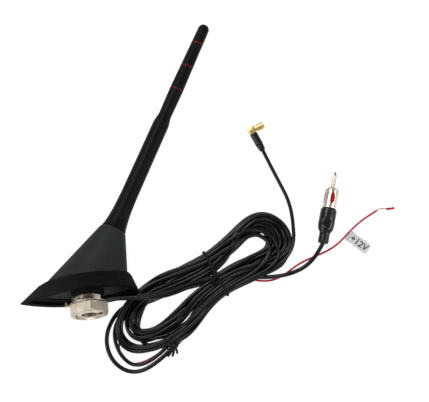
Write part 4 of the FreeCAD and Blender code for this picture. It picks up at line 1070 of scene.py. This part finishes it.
def waist_height(across):
    """How high the settled turns stand under the middle tie at one place across the waist."""
    best = LEAST_HEIGHT
    for (points, _), cord in zip(SETTLED, CORDS):
        flat = points[:, :2] - CENTRE
        along, over = flat @ ALONG, flat @ ACROSS
        near = (np.abs(along) < WAIST_REACH) & (np.abs(over - across) < WAIST_SIDE)
        if near.any():
            best = max(best, float(points[near, 2].max()) + cord.radius)
    return best


def waist_edges():
    """How far the settled turns reach across the waist, to its lower and its upper side."""
    low, high = LEAST_EDGES
    for (points, _), cord in zip(SETTLED, CORDS):
        flat = points[:, :2] - CENTRE
        over = (flat @ ACROSS)[np.abs(flat @ ALONG) < 3]
        if len(over):
            low = max(-MOST_EDGE, min(low, float(over.min()) - cord.radius))
            high = min(MOST_EDGE, max(high, float(over.max()) + cord.radius))
    return low, high


def levelled(heights, rounds=3):
    """Heights raised, a few times over, to at least the mean of each with its neighbours."""
    for _ in range(rounds):
        groups = [heights[max(0, k - 1):k + 2] for k in range(len(heights))]
        heights = [max(own, sum(group) / len(group)) for own, group in zip(heights, groups)]
    return heights


def make_middle_tie():
    """One loop round the waist, lying on the turns, and three tails."""
    low, high = waist_edges()
    spans = np.linspace(low + 2, high - 2, 9)
    tops = levelled([waist_height(across) for across in spans])
    over = [(across, top + 0.6) for across, top in zip(spans, tops)]
    under = [(high + 0.5, tops[-1] * 0.55), (high - 0.6, 0.75), (0, 0.6), (low + 0.6, 0.75),
             (low - 0.5, tops[0] * 0.55)]
    ring = over + under + over[:1]
    route = [row_point((0.5 * math.sin(k), across), z) for k, (across, z) in enumerate(ring)]
    loop = tie_wire("tie_loop", route, 4.6, strand_r=0.56, spread=0.5)
    ends = []
    for k, tail in enumerate(MIDDLE_TAILS):
        route = [row_point((along, across), waist_height(across) + lift) for along, across, lift in tail]
        ends.append(tie_wire(f"tie_end_{k}", route, 3.4, phase=k))
    dress(loop, "tie_plastic", replaces=["middle_tie"])
    for end in ends:
        dress(end, "tie_plastic")


def make_lower_tie():
    """Four wraps round the loose turns, and four tails."""
    side = Vector((-LOWER_WAY.y, LOWER_WAY.x, 0))
    rng = random.Random(4)
    wide, wide_spread, tall, middle, corners = 4.6, 0.3, 2.3, 3.3, 12
    wires = []
    for k, along in enumerate(LOWER_WRAPS):
        ring = []
        for j in range(corners + 1):
            angle = math.tau * j / corners
            reach = wide + rng.uniform(-wide_spread, wide_spread)
            spot = LOWER_START + LOWER_WAY * (along + 0.9 * math.sin(angle + k))
            spot += side * (reach * math.cos(angle))
            ring.append((spot.x, spot.y, middle + tall * math.sin(angle)))
        ring[-1] = ring[0]
        wires.append(tie_wire(f"lower_wrap_{k}", ring, 3.2, phase=k))
    for k, tail in enumerate(LOWER_TAILS):
        line = [tuple(LOWER_START + LOWER_WAY * a + side * b + Vector((0, 0, z))) for a, b, z in tail]
        wires.append(tie_wire(f"lower_tail_{k}", line, 3.0, phase=k))
    dress(wires[0], "tie_plastic", replaces=["lower_tie"])
    for wire in wires[1:]:
        dress(wire, "tie_plastic")


SMB = make_smb()
DIN = make_din()
FLAG = make_flag()
END = make_wire_end()
make_middle_tie()
make_lower_tie()

# ------------------------------------------------------------------ the three cords, dressed
dress(CABLES["fm_cable"], "cable_jacket",
      replaces=["fm_lead_in", "fm_loose_loop", "fm_lead_out", "cable_hank"])
dress(CABLES["dab_cable"], "cable_jacket", replaces=["dab_lead_in", "dab_loose_loop", "dab_lead_out"])
dress(CABLES["power_lead"], "red_wire", replaces=["power_loose_loop", "power_wire"])
